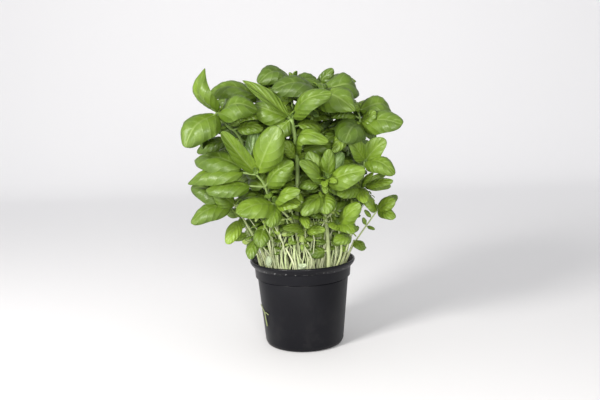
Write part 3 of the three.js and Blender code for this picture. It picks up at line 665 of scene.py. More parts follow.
def stem_part(grower, steps=STEM_STEPS, sides=STEM_SIDES, tone=0.5):
    """The stem: squarish, thinner upward, and swollen where its leaves start."""
    points = stem_line(grower, steps)
    share = np.clip(np.arange(len(points)) - 1, 0, None) / (len(points) - 2)
    radii = grower["thick"] / 2 * (1 - (1 - grower["taper"]) * share)
    for number in range(1, len(grower["whorls"]) + 1):
        radii[1 + number * steps] *= NODE_SWELL
    radii[:2] = grower["thick"] / 2
    return tube_part(points, radii, sides, square=SQUARE_STEM, tone=tone)


def ahead(start, heading, pitch, length):
    """The place that lies a length from start, at a compass heading and a pitch above level."""
    flat = math.cos(pitch) * length
    return (
        start[0] + flat * math.cos(heading),
        start[1] + flat * math.sin(heading),
        start[2] + math.sin(pitch) * length,
    )


def leaflet(start, heading, pitch, length, wide, tone, cup=0.7, face=None):
    """A small young leaf, straight from a stem. Without a face given, it faces up and back to the stem."""
    if face is None:
        lean = -math.sin(pitch)
        face = (lean * math.cos(heading), lean * math.sin(heading), math.cos(pitch))
    tip = ahead(start, heading, pitch, length)
    return bent(leaf(tip, face, wide, YOUNG_ARCH, cup, YOUNG_STALK, tone), start)


def lit_leaflet(start, heading, pitch, length, wide, tone, scatter):
    """A leaflet that turns its upper side outward to the light, so it droops where it heads outward."""
    angle = math.atan2(start[1], start[0])
    outward = np.array((math.cos(angle), math.sin(angle), 0))
    droop = pitch - OUTWARD_DROOP * math.cos(heading - angle)
    face = LIT_OUTWARD * outward + (0, 0, LIT_UPWARD) + scatter
    return leaflet(start, heading, droop, length, wide, tone, face=face)


def young_leaves(grower, whim):
    """The growing tip, with two crossed pairs of folded young leaves, and side buds at the lower whorls."""
    made = []
    top = grower["whorls"][-1]["at"]
    turn = whim.uniform(0, math.pi)
    for length, wide, pitch, tone in TIP_PAIRS:
        for heading in (turn, turn + math.pi):
            size = whim.uniform(*TIP_SIZES)
            heading += whim.uniform(*TIP_TURNS)
            made.append(leaflet(top, heading, pitch, length * size, wide * size, tone, cup=TIP_CUP))
        turn += math.pi / 2
    for tier in grower["whorls"][:-1]:
        for _ in range(2):
            length = whim.uniform(*BUD_LENGTHS)
            heading = whim.uniform(0, 2 * math.pi)
            pitch = whim.uniform(*BUD_PITCHES)
            tone = whim.uniform(*BUD_TONES)
            scatter = whim.normal(0, FACE_SCATTER, 3)
            wide = BUD_SLIMNESS * length
            made.append(lit_leaflet(tier["at"], heading, pitch, length, wide, tone, scatter))
    return made


def grown_piece(name, parts, materials):
    """One body from blades, stalks and stems, with the tone and the underside marked on its corners."""
    starts = np.cumsum([0] + [len(part["corners"]) for part in parts])
    faces = [
        [corner + start for corner in face] for start, part in zip(starts, parts) for face in part["faces"]
    ]
    mesh = bpy.data.meshes.new(name)
    mesh.from_pydata(np.vstack([part["corners"] for part in parts]) * MM, [], faces)
    slots = [part["slot"] for part in parts for _ in part["faces"]]
    mesh.polygons.foreach_set("material_index", slots)
    mesh.polygons.foreach_set("use_smooth", [True] * len(slots))
    for key in ("tone", "under"):
        values = np.concatenate([part[key] for part in parts]).astype(np.float32)
        mesh.attributes.new(key, "FLOAT", "POINT").data.foreach_set("value", values)
    corner_of_loop = np.empty(len(mesh.loops), np.int32)
    mesh.loops.foreach_get("vertex_index", corner_of_loop)
    places = np.vstack([part["map"] for part in parts]).astype(np.float32)[corner_of_loop]
    mesh.uv_layers.new(name="leaf").data.foreach_set("uv", places.ravel())
    for material in materials:
        mesh.materials.append(material)
    mesh.update()
    piece = bpy.data.objects.new(name, mesh)
    bpy.context.scene.collection.objects.link(piece)
    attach(piece, "root")
    return piece


# The colours of a leaf by its tone, from dark to bright, which stands partly for age and partly for painted
# shade and light, of its veins, of its underside and of light through it, and the heights between which a
# stem turns from pale to green
LEAF_STOPS = [
    (0.0, 0.038, 0.070, 0.004),
    (0.35, 0.082, 0.142, 0.011),
    (0.65, 0.138, 0.222, 0.017),
    (1.0, 0.21, 0.32, 0.028),
]
VEIN_COLOUR = (0.33, 0.43, 0.15, 1)
UNDER_COLOUR = (0.16, 0.26, 0.08, 1)
SHINE_COLOUR = (0.36, 0.46, 0.03, 1)
STEM_GREENS = (78, 190)


def attribute(tree, name):
    """A value that is marked on the piece's corners."""
    return node(tree, "ShaderNodeAttribute", attribute_name=name).outputs["Fac"]


def living_surface(tree, inputs, share, through):
    """The usual end of a living material: a principled shader, with a share of light that shines through."""
    surface = node(tree, "ShaderNodeBsdfPrincipled", inputs).outputs[0]
    shining = node(tree, "ShaderNodeBsdfTranslucent", through).outputs[0]
    both = node(tree, "ShaderNodeMixShader", {0: share, 1: surface, 2: shining}).outputs[0]
    node(tree, "ShaderNodeOutputMaterial", {"Surface": both})


def leaf_material(name, stops, under_colour):
    """Waxy living leaf: its colour by its tone, paler veins and underside, and light that shines through."""
    material, tree = new_material(name)
    place = object_place(tree)
    under = attribute(tree, "under")
    uv = node(tree, "ShaderNodeUVMap", uv_map="leaf").outputs["UV"]
    u, v, _ = node(tree, "ShaderNodeSeparateXYZ", {0: uv}).outputs

    # The midrib lies where u is a half, and a side vein wherever v passes a whole step
    away = math_of(tree, "ABSOLUTE", math_of(tree, "SUBTRACT", u, 0.5))
    ripple = math_of(tree, "PINGPONG", math_of(tree, "MULTIPLY", v, VEIN_SCALE), 0.5)
    near_vein = span(tree, ripple, 0.07, 0.0, 0, 0.22)
    side_vein = math_of(tree, "MULTIPLY", near_vein, span(tree, away, 0.48, 0.3))
    vein = math_of(tree, "MAXIMUM", side_vein, span(tree, away, 0.032, 0.008, 0, 0.34))
    swelling = math_of(tree, "POWER", math_of(tree, "MULTIPLY", ripple, 2), 0.6)
    swelling = math_of(tree, "MULTIPLY", swelling, span(tree, away, 0.02, 0.12))

    mottle = cloud(tree, place, scale=90, detail=4, rough=0.6)
    tone = math_of(tree, "ADD", attribute(tree, "tone"), span(tree, mottle, 0.3, 0.7, -0.13, 0.13))
    veined = mix(tree, vein, ramp(tree, tone, stops), VEIN_COLOUR)
    colour = mix(tree, math_of(tree, "MULTIPLY", under, 0.65), veined, under_colour)

    pucker = math_of(tree, "MULTIPLY", cloud(tree, place, scale=420, detail=3, rough=0.55), 0.35)
    height = math_of(tree, "ADD", pucker, swelling)
    bump = node(tree, "ShaderNodeBump", {"Strength": 0.5, "Distance": 0.0012, "Height": height}).outputs[0]
    inputs = {
        "Base Color": colour,
        "Roughness": span(tree, mottle, 0.3, 0.7, 0.38, 0.5),
        "Specular IOR Level": 0.54,
        "Specular Tint": (0.96, 1, 0.92, 1),
        "Normal": bump,
    }
    living_surface(tree, inputs, 0.2, {"Color": mix(tree, 0.5, colour, SHINE_COLOUR), "Normal": bump})
    return material


def stem_material(name, low, high):
    """Watery stem: its low colour at the foot and its high one further up, with fine grooves along it."""
    material, tree = new_material(name)
    rise = span(tree, object_height(tree), *(MM * height for height in STEM_GREENS))
    patch = span(tree, cloud(tree, object_place(tree), scale=140), 0.3, 0.7, -0.12, 0.12)
    age = span(tree, attribute(tree, "tone"), 0, 1, -0.4, 0.4)
    greened = math_of(tree, "ADD", rise, math_of(tree, "ADD", patch, age))
    colour = ramp(tree, greened, [(0.0, *low), (1.0, *high)])
    grooves = cloud(tree, object_place(tree, (1, 1, 0.1)), scale=1400, detail=2)
    bump = node(tree, "ShaderNodeBump", {"Strength": 0.2, "Distance": 0.0003, "Height": grooves})
    inputs = {
        "Base Color": colour,
        "Roughness": 0.42,
        "Specular IOR Level": 0.45,
        "Normal": bump.outputs[0],
    }
    living_surface(tree, inputs, 0.3, {"Color": colour})
    return material


basil_leaf = leaf_material("basil leaf", LEAF_STOPS, UNDER_COLOUR)
basil_stem = stem_material("basil stem", (0.55, 0.60, 0.33), (0.24, 0.36, 0.09))

# The stems of the front half, the large ones first and the young plants at the rim last
# Each leaf's tone is partly painted shade and light: darker where it turns away from the lamps
front_shoots = [
    shoot("stem_front_centre", (-12, -28), 3, [
        whorl((-24, -38, 129)),
        whorl(
            (-32, -56, 165),
            leaf((-84, -72, 165), (0, -0.38, 0.92), 28, 0.1, 0.85, 0.28, 0.45),
            leaf((-5, -74, 188), (-0.35, -0.75, 0.55), 31, 0.2, 0.8, 0.12, 0.52),
        ),
        whorl(
            (-39, -62, 177),
            leaf((-102, -58, 170), (0, -0.36, 0.93), 35, 0.14, 0.75, 0.18, 0.5, 0.7),
            leaf((-96, -36, 184), (0, -0.45, 0.88), 38, 0.16, 0.7, 0.22, 0.38),
            leaf((-17, -84, 220), (-0.1, -0.95, 0.3), 34, 0.12, 0.6, 0.06, 0.6, 0),
            leaf((-67, -82, 217), (0.2, -0.97, 0.1), 20, 0.03, -1.6, 0.06, 0.6, 0),
            leaf((-40, -48, 219), (0, 0.9, 0.3), 20, 0.06, 0.9, 0.1, 0.4),
        ),
    ]),
    shoot("stem_middle", (-3, -21), 4.2, [
        whorl((-4, -35, 125)),
        whorl(
            (-2, -50, 191),
            leaf((26, -78, 205), (-0.35, -0.5, 0.8), 26, 0.42, 0.75, 0.08, 0.6),
            leaf((-13, -64, 206), (-0.3, -0.8, 0.4), 15, 0.1, 0.5, 0.1, 0.6),
        ),
        whorl(
            (-6, -55, 226),
            leaf((30, -80, 247), (-0.25, -0.75, 0.6), 28, 0.22, 0.55, 0.07, 0.46),
            leaf((-40, -46, 239), (-0.1, -0.85, 0.5), 28, 0.14, 0.5, 0.12, 0.5),
            leaf((-48, -66, 261), (0.4, -0.7, 0.5), 17, 0.06, -0.9, 0.06, 0.6, 0.8),
            leaf((-20, -54, 207), (-0.3, -0.8, 0.4), 22, 0.2, 0.7, 0.1, 0.42),
        ),
    ], taper=0.85),
    shoot("stem_front_right", (25, -33), 4, [
        whorl((24, -42, 118)),
        whorl(
            (20, -56, 158),
            leaf((23, -75, 141), (0, -0.75, 0.6), 25, 0.16, 0.5, 0.06, 0.6),
            leaf((1, -80, 141), (-0.3, -0.8, 0.5), 21, 0.16, 0.6, 0.1, 0.62),
            leaf((11, -70, 141), (-0.2, -0.8, 0.5), 13, 0.1, 0.5, 0.1, 0.6),
        ),
        whorl(
            (22, -64, 168),
            leaf((57, -86, 180), (-0.15, -0.8, 0.6), 28, 0.12, 0.5, 0.1, 0.6),
            leaf((0, -88, 190), (-0.2, -0.75, 0.6), 20, 0.14, 0.8, 0.1, 0.5),
            leaf((8, -66, 197), (0, -0.9, 0.4), 22, 0.08, 0.6, 0.1, 0.5),
            leaf((26, -76, 199), (0.2, -0.95, 0.2), 17, 0.06, 0.6, 0.1, 0.55),
            leaf((39, -62, 195), (0.3, 0.9, 0.2), 16, 0.08, 0.6, 0.1, 0.5),
        ),
        whorl(
            (23, -69, 171),
            leaf((13, -82, 174), (0, -0.5, 0.85), 8, 0.1, -0.4, 0.1, 0.9),
            leaf((21, -84, 180), (0.2, -0.6, 0.7), 8, 0.1, -0.4, 0.1, 0.9),
            leaf((22, -88, 167), (-0.3, -0.6, 0.7), 8, 0.1, -0.4, 0.1, 0.9),
            leaf((32, -84, 170), (-0.2, -0.6, 0.7), 8, 0.1, -0.4, 0.1, 0.9),
        ),
    ]),
    shoot("stem_right", (36, -18), 3, [
        whorl((48, -26, 115)),
        whorl(
            (57, -41, 160),
            leaf((66, -68, 176), (-0.7, -0.5, 0.5), 9, 0.1, 0.5, 0.1, 0.7),
            leaf((83, -70, 168), (-0.2, -0.7, 0.7), 13, 0.08, 0.6, 0.15, 0.7),
            leaf((58, -74, 150), (-0.1, -0.9, 0.4), 15, 0.1, 0.5, 0.1, 0.85),
            leaf((34, -68, 156), (0, -0.7, 0.7), 23, 0.14, 0.6, 0.1, 0.57),
            leaf((85, -38, 160), (0, -0.5, 0.8), 17, 0.15, 0.7, 0.15, 0.66),
        ),
        whorl(
            (60, -50, 185),
            leaf((46, -66, 206), (0.2, -0.9, 0.3), 17, 0.06, -0.4, 0.08, 0.66),
            leaf((78, -62, 205), (-0.1, -0.95, 0.2), 19, 0.05, -0.9, 0.08, 0.6),
            leaf((84, -72, 174), (0, -0.65, 0.75), 26, 0.26, 0.75, 0.06, 0.55),
            leaf((62, -36, 204), (0.2, 0.8, 0.4), 16, 0.08, 0.5, 0.1, 0.4),
        ),
    ]),
    shoot("stem_front_low", (-3, -36), 3, [
        whorl((-6, -47, 124)),
        whorl(
            (-23, -64, 150),
            leaf((-55, -92, 146), (-0.1, -0.6, 0.8), 34, 0.12, 0.6, 0.05, 0.66),
            leaf((0, -90, 164), (0.1, -0.75, 0.65), 20, 0.18, 0.5, 0.12, 0.66),
            leaf((-1, -82, 151), (0, -0.5, 0.85), 22, 0.1, 0.6, 0.1, 0.82),
            leaf((-28, -88, 133), (0.3, -0.8, 0.45), 18, 0.14, 0.5, 0.08, 0.55),
            leaf((-16, -80, 160), (-0.3, -0.6, 0.7), 10, 0.1, 0.5, 0.1, 0.7),
        ),
    ]),
    shoot("stem_left", (-28, -9), 3, [
        whorl((-40, -14, 150)),
        whorl((-54, -35, 207)),
        whorl(
            (-65, -45, 221),
            leaf((-49, -56, 229), (-0.2, -0.7, 0.6), 13, 0.12, 0.5, 0.15, 0.6),
        ),
        whorl(
            (-73, -50, 233),
            leaf((-81, -60, 273), (-0.8, -0.6, 0.1), 31, 0.31, 0.6, 0.04, 0.52, 1),
            leaf((-100, -74, 204), (-0.35, -0.75, 0.5), 43, 0.22, 0.75, 0.06, 0.45),
            leaf((-36, -60, 234), (-0.1, -0.65, 0.75), 37, 0.3, 0.65, 0.05, 0.42),
            leaf((-90, -30, 198), (-0.8, 0.1, 0.5), 22, 0.2, 0.7, 0.1, 0.35),
        ),
    ]),
    shoot("stem_upper_right", (29, -4), 3, [
        whorl((43, -7, 145)),
        whorl((48, -22, 206)),
        whorl(
            (57, -38, 220),
            leaf((92, -68, 218), (-0.05, -0.8, 0.6), 31, 0.1, 0.5, 0.08, 0.43),
            leaf((40, -72, 204), (-0.1, -0.95, 0.3), 34, 0.12, 0.5, 0.04, 0.22),
            leaf((72, -34, 203), (0.2, -0.5, 0.8), 19, 0.12, 0.6, 0.1, 0.4),
            leaf((30, -68, 195), (-0.3, -0.7, 0.6), 19, 0.16, 0.8, 0.35, 0.65),
            leaf((71, -52, 229), (-0.3, -0.75, 0.6), 22, 0.08, 0.5, 0.1, 0.55),
        ),
        whorl(
            (56, -30, 231),
            leaf((88, -24, 228), (0, -0.6, 0.8), 38, 0.34, 0.6, 0.06, 0.42),
            leaf((38, 2, 238), (-0.2, 0.3, 0.9), 29, 0.2, 0.6, 0.1, 0.3),
        ),
    ]),
    shoot("stem_top_right", (8, -10), 3.4, [
        whorl((9, -10, 150)),
        whorl((13, -20, 226)),
        whorl(
            (21, -30, 251),
            leaf((-23, -60, 251), (0, -0.6, 0.8), 38, 0.2, 0.55, 0.08, 0.24),
            leaf((51, -64, 231), (-0.1, -0.7, 0.7), 38, 0.16, 0.6, 0.07, 0.47, 0.8),
            leaf((58, -30, 246), (0, -0.75, 0.65), 42, 0.38, 0.6, 0.06, 0.3, 0.7),
        ),
    ]),
    shoot("stem_top_middle", (-6, -5), 3, [
        whorl((-7, -6, 150)),
        whorl(
            (-6, -10, 214),
            leaf((26, -26, 218), (0, -0.6, 0.8), 29, 0.18, 0.6, 0.1, 0.35),
            leaf((-34, -18, 220), (0, -0.6, 0.8), 29, 0.18, 0.6, 0.1, 0.35),
        ),
        whorl(
            (-4, -14, 262),
            leaf((-36, -40, 259), (-0.1, -0.6, 0.8), 36, 0.27, 0.6, 0.06, 0.25),
            leaf((24, 6, 254), (0.1, -0.5, 0.85), 34, 0.2, 0.6, 0.1, 0.3),
            leaf((-34, 18, 252), (-0.1, 0.3, 0.95), 31, 0.2, 0.6, 0.1, 0.3),
        ),
    ]),
    shoot("stem_top_left", (-17, 1), 3, [
        whorl((-24, -4, 150)),
        whorl(
            (-31, -16, 208),
            leaf((-66, -20, 218), (-0.1, -0.7, 0.7), 29, 0.18, 0.6, 0.1, 0.4),
        ),
        whorl(
            (-34, -26, 245),
            leaf((-84, -40, 249), (0, -0.55, 0.85), 32, 0.24, 0.6, 0.08, 0.38),
            leaf((-70, 6, 240), (-0.3, 0.1, 0.95), 31, 0.18, 0.6, 0.1, 0.3),
        ),
    ]),
    shoot("stem_inner_left", (-14, -13), 2.6, [
        whorl(
            (-20, -22, 148),
            leaf((-48, -18, 144), (-0.2, -0.5, 0.8), 25, 0.18, 0.6, 0.1, 0.4),
            leaf((-12, -48, 150), (0.1, -0.6, 0.8), 25, 0.18, 0.6, 0.1, 0.6),
        ),
        whorl(
            (-22, -26, 186),
            leaf((-38, -46, 202), (-0.1, -0.8, 0.5), 26, 0.16, 0.6, 0.1, 0.45),
            leaf((-18, -8, 214), (-0.2, -0.8, 0.3), 26, 0.14, 0.6, 0.1, 0.35),
            leaf((-54, -14, 190), (-0.2, -0.5, 0.8), 28, 0.18, 0.6, 0.1, 0.35),
        ),
    ]),
    shoot("stem_inner_right", (18, -18), 2.6, [
        whorl(
            (31, -24, 145),
            leaf((56, -10, 142), (0.2, -0.5, 0.8), 25, 0.18, 0.6, 0.1, 0.6),
            leaf((12, -40, 150), (-0.1, -0.6, 0.8), 25, 0.18, 0.6, 0.1, 0.62),
        ),
        whorl(
            (34, -26, 180),
            leaf((12, -36, 198), (-0.2, -0.8, 0.5), 27, 0.16, 0.6, 0.1, 0.45),
            leaf((40, -10, 206), (0.1, -0.8, 0.4), 26, 0.14, 0.6, 0.1, 0.35),
            leaf((62, -12, 184), (0.2, -0.4, 0.8), 26, 0.18, 0.6, 0.1, 0.35),
        ),
    ]),
    shoot("stem_inner_low", (6, -32), 2.4, [
        whorl(
            (3, -44, 121),
            leaf((-17, -58, 128), (0, -0.8, 0.5), 12, 0.14, 0.6, 0.1, 0.8),
            leaf((22, -60, 124), (0, -0.8, 0.5), 12, 0.14, 0.6, 0.1, 0.8),
        ),
        whorl(
            (2, -48, 138),
            leaf((-12, -52, 160), (0, -0.9, 0.3), 20, 0.12, 0.6, 0.1, 0.68),
            leaf((16, -56, 160), (0, -0.9, 0.3), 20, 0.12, 0.6, 0.1, 0.68),
            leaf((6, -72, 128), (0, -0.7, 0.6), 11, 0.12, 0.6, 0.1, 0.8),
        ),
    ]),
    shoot("stem_low_left", (-29, -22), 2.6, [
        whorl((-46, -31, 115)),
        whorl(
            (-61, -43, 147),
            leaf((-100, -62, 134), (0, -0.38, 0.92), 30, 0.18, 0.95, 0.12, 0.42),
            leaf((-102, -40, 160), (0, -0.5, 0.86), 34, 0.16, 0.7, 0.15, 0.3),
            leaf((-78, -62, 164), (0.1, -0.9, 0.4), 23, 0.12, 0.5, 0.08, 0.45),
        ),
    ]),
    shoot("stem_side_right", (41, -8), 2, [
        whorl((51, -17, 102)),
        whorl(
            (72, -36, 137),
            leaf((57, -48, 150), (0, -0.7, 0.7), 17, 0.16, 0.6, 0.1, 0.76),
            leaf((87, -54, 148), (-0.2, -0.8, 0.5), 19, 0.12, 0.5, 0.08, 0.8),
            leaf((85, -62, 133), (-0.1, -0.8, 0.5), 14, 0.1, 0.5, 0.08, 0.6),
            leaf((92, -30, 150), (0.2, -0.3, 0.9), 15, 0.1, 0.5, 0.1, 0.5),
        ),
    ]),
    shoot("stem_side_left", (-40, -11), 2.2, [
        whorl((-48, -20, 108)),
        whorl(
            (-58, -30, 133),
            leaf((-70, -46, 111), (-0.3, -0.85, 0.35), 17, 0.08, 0.4, 0.12, 1.15),
            leaf((-41, -54, 118), (0.1, -0.8, 0.5), 17, 0.1, 0.5, 0.12, 0.62),
            leaf((-66, -2, 138), (-0.3, 0.1, 0.9), 19, 0.16, 0.5, 0.1, 0.5),
        ),
    ]),
    shoot("stem_low_right", (31, -27), 2.4, [
        whorl((37, -40, 100)),
        whorl(
            (34, -50, 127),
            leaf((53, -78, 149), (-0.3, -0.85, 0.4), 21, 0.1, 0.5, 0.08, 0.7),
            leaf((46, -80, 129), (-0.1, -0.6, 0.8), 17, 0.12, 0.5, 0.08, 0.6),
            leaf((26, -72, 128), (0, -0.7, 0.6), 15, 0.1, 0.5, 0.1, 0.85),
        ),
    ]),
    shoot("seedling_rim_left", (-33, -26), 1.8, [
        whorl(
            (-43, -37, 114),
            leaf((-48, -57, 98), (-0.3, -0.8, 0.5), 15, 0.16, 0.5, 0.1, 0.5),
        ),
    ]),
    shoot("seedling_front_left", (-26, -32), 1.8, [
        whorl(
            (-35, -47, 125),
            leaf((-38, -62, 110), (0, -0.9, 0.45), 18, 0.18, 0.5, 0.08, 0.5),
        ),
    ]),
    shoot("seedling_rim_right", (39, -14), 1.8, [
        whorl(
            (50, -30, 108),
            leaf((58, -42, 100), (0.2, -0.7, 0.6), 13, 0.14, 0.5, 0.1, 0.55),
        ),
    ]),
    shoot("seedling_front_right", (35, -22), 1.8, [
        whorl(
            (46, -50, 116),
            leaf((29, -64, 113), (0, -0.6, 0.8), 17, 0.14, 0.5, 0.08, 0.6),
        ),
    ]),
]


def leafy_stem(grower, rings, sides, whim, with_young=True):
    """A stem with its leaves, the large blades drawn with so many rings and sides, and its young growth."""
    parts = [stem_part(grower)]
    for blade in placed_leaves(grower):
        blade["bow"] = whim.uniform(-BOW, BOW)
        if blade["wide"] < SMALL_LEAF:
            parts += leaf_parts([blade], (rings // 2, sides // 2), SMALL_STALK_NET, whim)
        else:
            parts += leaf_parts([blade], (rings, sides), STALK_NET, whim)
    if with_young:
        for blade in young_leaves(grower, whim):
            parts.append(blade_part(blade, *YOUNG_NET, whim))
    return parts


# Leaves that show in the shade or on short side stalks, by their stem and the height at which they start,
# and how clear of the part's growth they stay
SHADE_CLEAR = 0.5
SHADE_NETS = ((24, 22), (14, 8))
SHADE_LEAVES = {
    "stem_left": [
        (207, leaf((-97, -26, 197), (0, -0.6, 0.8), 22, 0.14, 0.6, 0.25, 0.3)),
        (215, leaf((-78, -20, 222), (-0.1, -0.7, 0.7), 20, 0.12, 0.6, 0.2, 0.3)),
    ],
    "stem_low_left": [(147, leaf((-43, -52, 150), (0, -0.85, 0.45), 15, 0.1, 0.6, 0.16, 0.4))],
    "stem_side_left": [(118, leaf((-66, -30, 112), (-0.2, -0.85, 0.4), 10, 0.1, 0.6, 0.16, 0.6))],
    "stem_side_right": [
        (119, leaf((70, -32, 118), (0.2, -0.85, 0.4), 4.5, 0.1, 0.6, 0.16, 0.6)),
        (122, leaf((59, -31, 130), (-0.2, -0.85, 0.4), 5, 0.1, 0.6, 0.2, 0.6)),
        (130, leaf((60, -36, 138), (-0.2, -0.85, 0.4), 5, 0.1, 0.6, 0.16, 0.6)),
    ],
    "stem_right": [
        (160, leaf((80, -46, 173), (0, -0.85, 0.45), 9, 0.12, 0.6, 0.16, 0.6)),
        (158, leaf((80, -45, 150), (0, -0.85, 0.45), 12, 0.12, 0.6, 0.16, 0.6)),
        (172, leaf((44, -58, 183), (0, -0.85, 0.45), 12, 0.12, 0.6, 0.1, 0.45)),
    ],
    "stem_back_1": [(240, leaf((-82, 24, 244), (0, -0.7, 0.7), 20, 0.12, 0.6, 0.2, 0.35))],
    "stem_back_2": [(252, leaf((36, 2, 272), (0, -0.75, 0.6), 18, 0.12, 0.6, 0.2, 0.35))],
}

# Leaves that fill the clump's inside: how often one is tried on a stem, its lowest start, how far its
# heading strays from outward, the range of its length and how much of that is left low down, and the ranges
# of its pitch, slimness, tone, arch and cup
FILL_TRIES = 230
FILL_FROM = 100
FILL_AIM_SCATTER = 12
FILL_HEADING_SCATTER = 0.9
FILL_LENGTHS = (17, 36)
FILL_SHORTER = ([100, 140], [0.6, 1])
FILL_PITCHES = (-0.35, 0.55)
FILL_SLIMNESS = (0.58, 0.72)
FILL_TONES = (0.35, 0.72)
FILL_ARCHES = (0.1, 0.24)
FILL_CUPS = (0.5, 0.9)
FILL_OUTWARD = 0.6
FILL_UPWARD = 0.7
FILL_STALK = 0.16
FILL_NETS = ((20, 20), (12, 8))

# Stems further out than this carry such leaves on their inner side only
FILL_INWARD = 40

# The clump's outline, by heights and radii, which such leaves stay inside, their lowest height, and how
# clear of all other growth they stay
FILL_HEIGHTS = [88, 105, 125, 150, 180, 215, 240, 256, 268]
FILL_RADII = [46, 52, 60, 74, 84, 82, 70, 56, 30]
FILL_LOWEST = 84
FILL_CLEAR = 1.4

# The places on a leaf that are tested for room, by shares of its length and of each half's width
PROBE_ALONG = [0.2, 0.4, 0.6, 0.8, 1.0]
PROBE_ACROSS = [-0.8, -0.4, 0.0, 0.4, 0.8]
PROBE_ROUND_END = 0.56

# Everything that stands in the part, and places over the leaves added here so far, which new ones clear
standing_corners = []
standing_faces = []
for name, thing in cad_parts.items():
    start = len(standing_corners)
    standing_corners += [corner.co / MM for corner in thing.data.vertices]
    standing_faces += [[corner + start for corner in face.vertices] for face in thing.data.polygons]
standing = BVHTree.FromPolygons(standing_corners, standing_faces)
filled = np.empty((0, 3))


def probes(blade):
    """A few places over a leaf, to test for room round it."""
    along = np.array(PROBE_ALONG)
    shares = blade["stalk"] + (1 - blade["stalk"]) * along
    centre, side, normal = leaf_frame(blade, shares)
    profile = np.sin(math.pi * along**BROAD_BEFORE_MIDDLE).clip(0) ** PROBE_ROUND_END
    places = []
    for across in PROBE_ACROSS:
        half = blade["wide"] / 2 * profile
        turn = across * blade["cup"]
        out = half * math.sin(turn) / blade["cup"]
        drop = half * (1 - math.cos(turn)) / blade["cup"]
        places.append(centre + out[:, None] * side - drop[:, None] * normal)
    return np.vstack(places)


def has_room(places):
    """Whether these places lie inside the clump, and clear of the part's growth and of added leaves."""
    reach = np.hypot(places[:, 0], places[:, 1])
    outside = reach > np.interp(places[:, 2], FILL_HEIGHTS, FILL_RADII)
    if outside.any() or places[:, 2].min() < FILL_LOWEST:
        return False
    if len(filled) and np.linalg.norm(filled[:, None] - places, axis=2).min() < 2 * FILL_CLEAR:
        return False
    return all(standing.find_nearest(place)[3] > FILL_CLEAR for place in places)


def near_height(line, height):
    """The place on a stem's line that is nearest to a height."""
    return line[np.argmin(np.abs(line[:, 2] - height))]


def fill_leaves(grower, tries, whim):
    """Leaves on a stem's side branches that fill the shade between the larger ones, where there is room."""
    global filled
    made = []
    line = stem_line(grower)
    for _ in range(tries):
        start = near_height(line, whim.uniform(FILL_FROM, line[-1][2]))
        away_y = start[1] + whim.normal(0, FILL_AIM_SCATTER)
        away_x = start[0] + whim.normal(0, FILL_AIM_SCATTER)
        outward = math.atan2(away_y, away_x)
        heading = outward + whim.normal(0, FILL_HEADING_SCATTER)
        if math.hypot(start[0], start[1]) > FILL_INWARD:
            heading += math.pi
        length = whim.uniform(*FILL_LENGTHS) * np.interp(start[2], *FILL_SHORTER)
        tip = ahead(start, heading, whim.uniform(*FILL_PITCHES), length)
        face = np.array((FILL_OUTWARD * math.cos(outward), FILL_OUTWARD * math.sin(outward), FILL_UPWARD))
        face += whim.normal(0, FACE_SCATTER, 3)
        wide = length * whim.uniform(*FILL_SLIMNESS)
        tone = whim.uniform(*FILL_TONES)
        arch = whim.uniform(*FILL_ARCHES)
        cup = whim.uniform(*FILL_CUPS)
        blade = bent(leaf(tip, face, wide, arch, cup, FILL_STALK, tone), start)
        places = probes(blade)
        if has_room(places):
            filled = np.vstack((filled, places))
            made.append(blade)
    return made


def shade_leaves(grower):
    """The leaves listed for this stem, where they clear the part's growth."""
    global filled
    made = []
    line = stem_line(grower)
    for height, asked in SHADE_LEAVES.get(grower["name"], []):
        blade = bent(asked, near_height(line, height))
        places = probes(blade)
        if all(standing.find_nearest(place)[3] > SHADE_CLEAR for place in places):
            filled = np.vstack((filled, places))
            made.append(blade)
    return made


whim = np.random.default_rng(34)
for grower in front_shoots:
    is_young = grower["name"].startswith("seedling")
    parts = leafy_stem(grower, *BLADE_NET, whim, with_young=not is_young)
    if not is_young:
        parts += leaf_parts(shade_leaves(grower), *SHADE_NETS, whim)
        parts += leaf_parts(fill_leaves(grower, FILL_TRIES, whim), *FILL_NETS, whim)
    piece = grown_piece(f"{grower['name']}_growth", parts, (basil_leaf, basil_stem))
    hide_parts(grower["name"])


# Leafy stems behind
# The same soft growth in three rows that fan out from the peat, with crossed pairs of leaves. They follow
# the part's own draw, so each leaf here lies where the part's does.
BACK_BLADE_NET = (28, 28)
BACK_SHADE_NETS = ((20, 20), (12, 8))
BACK_FILL_TRIES = 150
BACK_FILL_NETS = ((16, 18), (10, 6))

# Each row by its distance back, its stems' places across and how many whorls each stem has
BACK_ROWS = [
    (12, (-46, 15, 50), 4),
    (38, (-54, -22, 8, 38), 3),
    (64, (-36, -4, 28), 4),
]

# The peat's height in the part, how far in a stem starts, the crown's top and how it falls outward, and the
# step between whorls, with the length and pitch of their leaves from the top down
SOIL_HEIGHT = 76
SOIL_SHARE = 0.44
CROWN_HEIGHT = 256
CROWN_FALL = 0.0085
WHORL_STEP = 30
LEAF_LENGTHS = [40, 50, 50, 46]
LEAF_PITCHES = [0.2, 0.1, -0.1, -0.2]

# The tone of the top leaves, and how much darker each whorl below is
TOP_TONE = 0.68
TONE_STEP = 0.09

seed = 2718


def draw(low, high):
    """A repeatable draw between two limits. It and the limits below are the part's own."""
    global seed
    seed = (seed * 1664525 + 1013904223) % 4294967296
    return low + (high - low) * seed / 4294967296


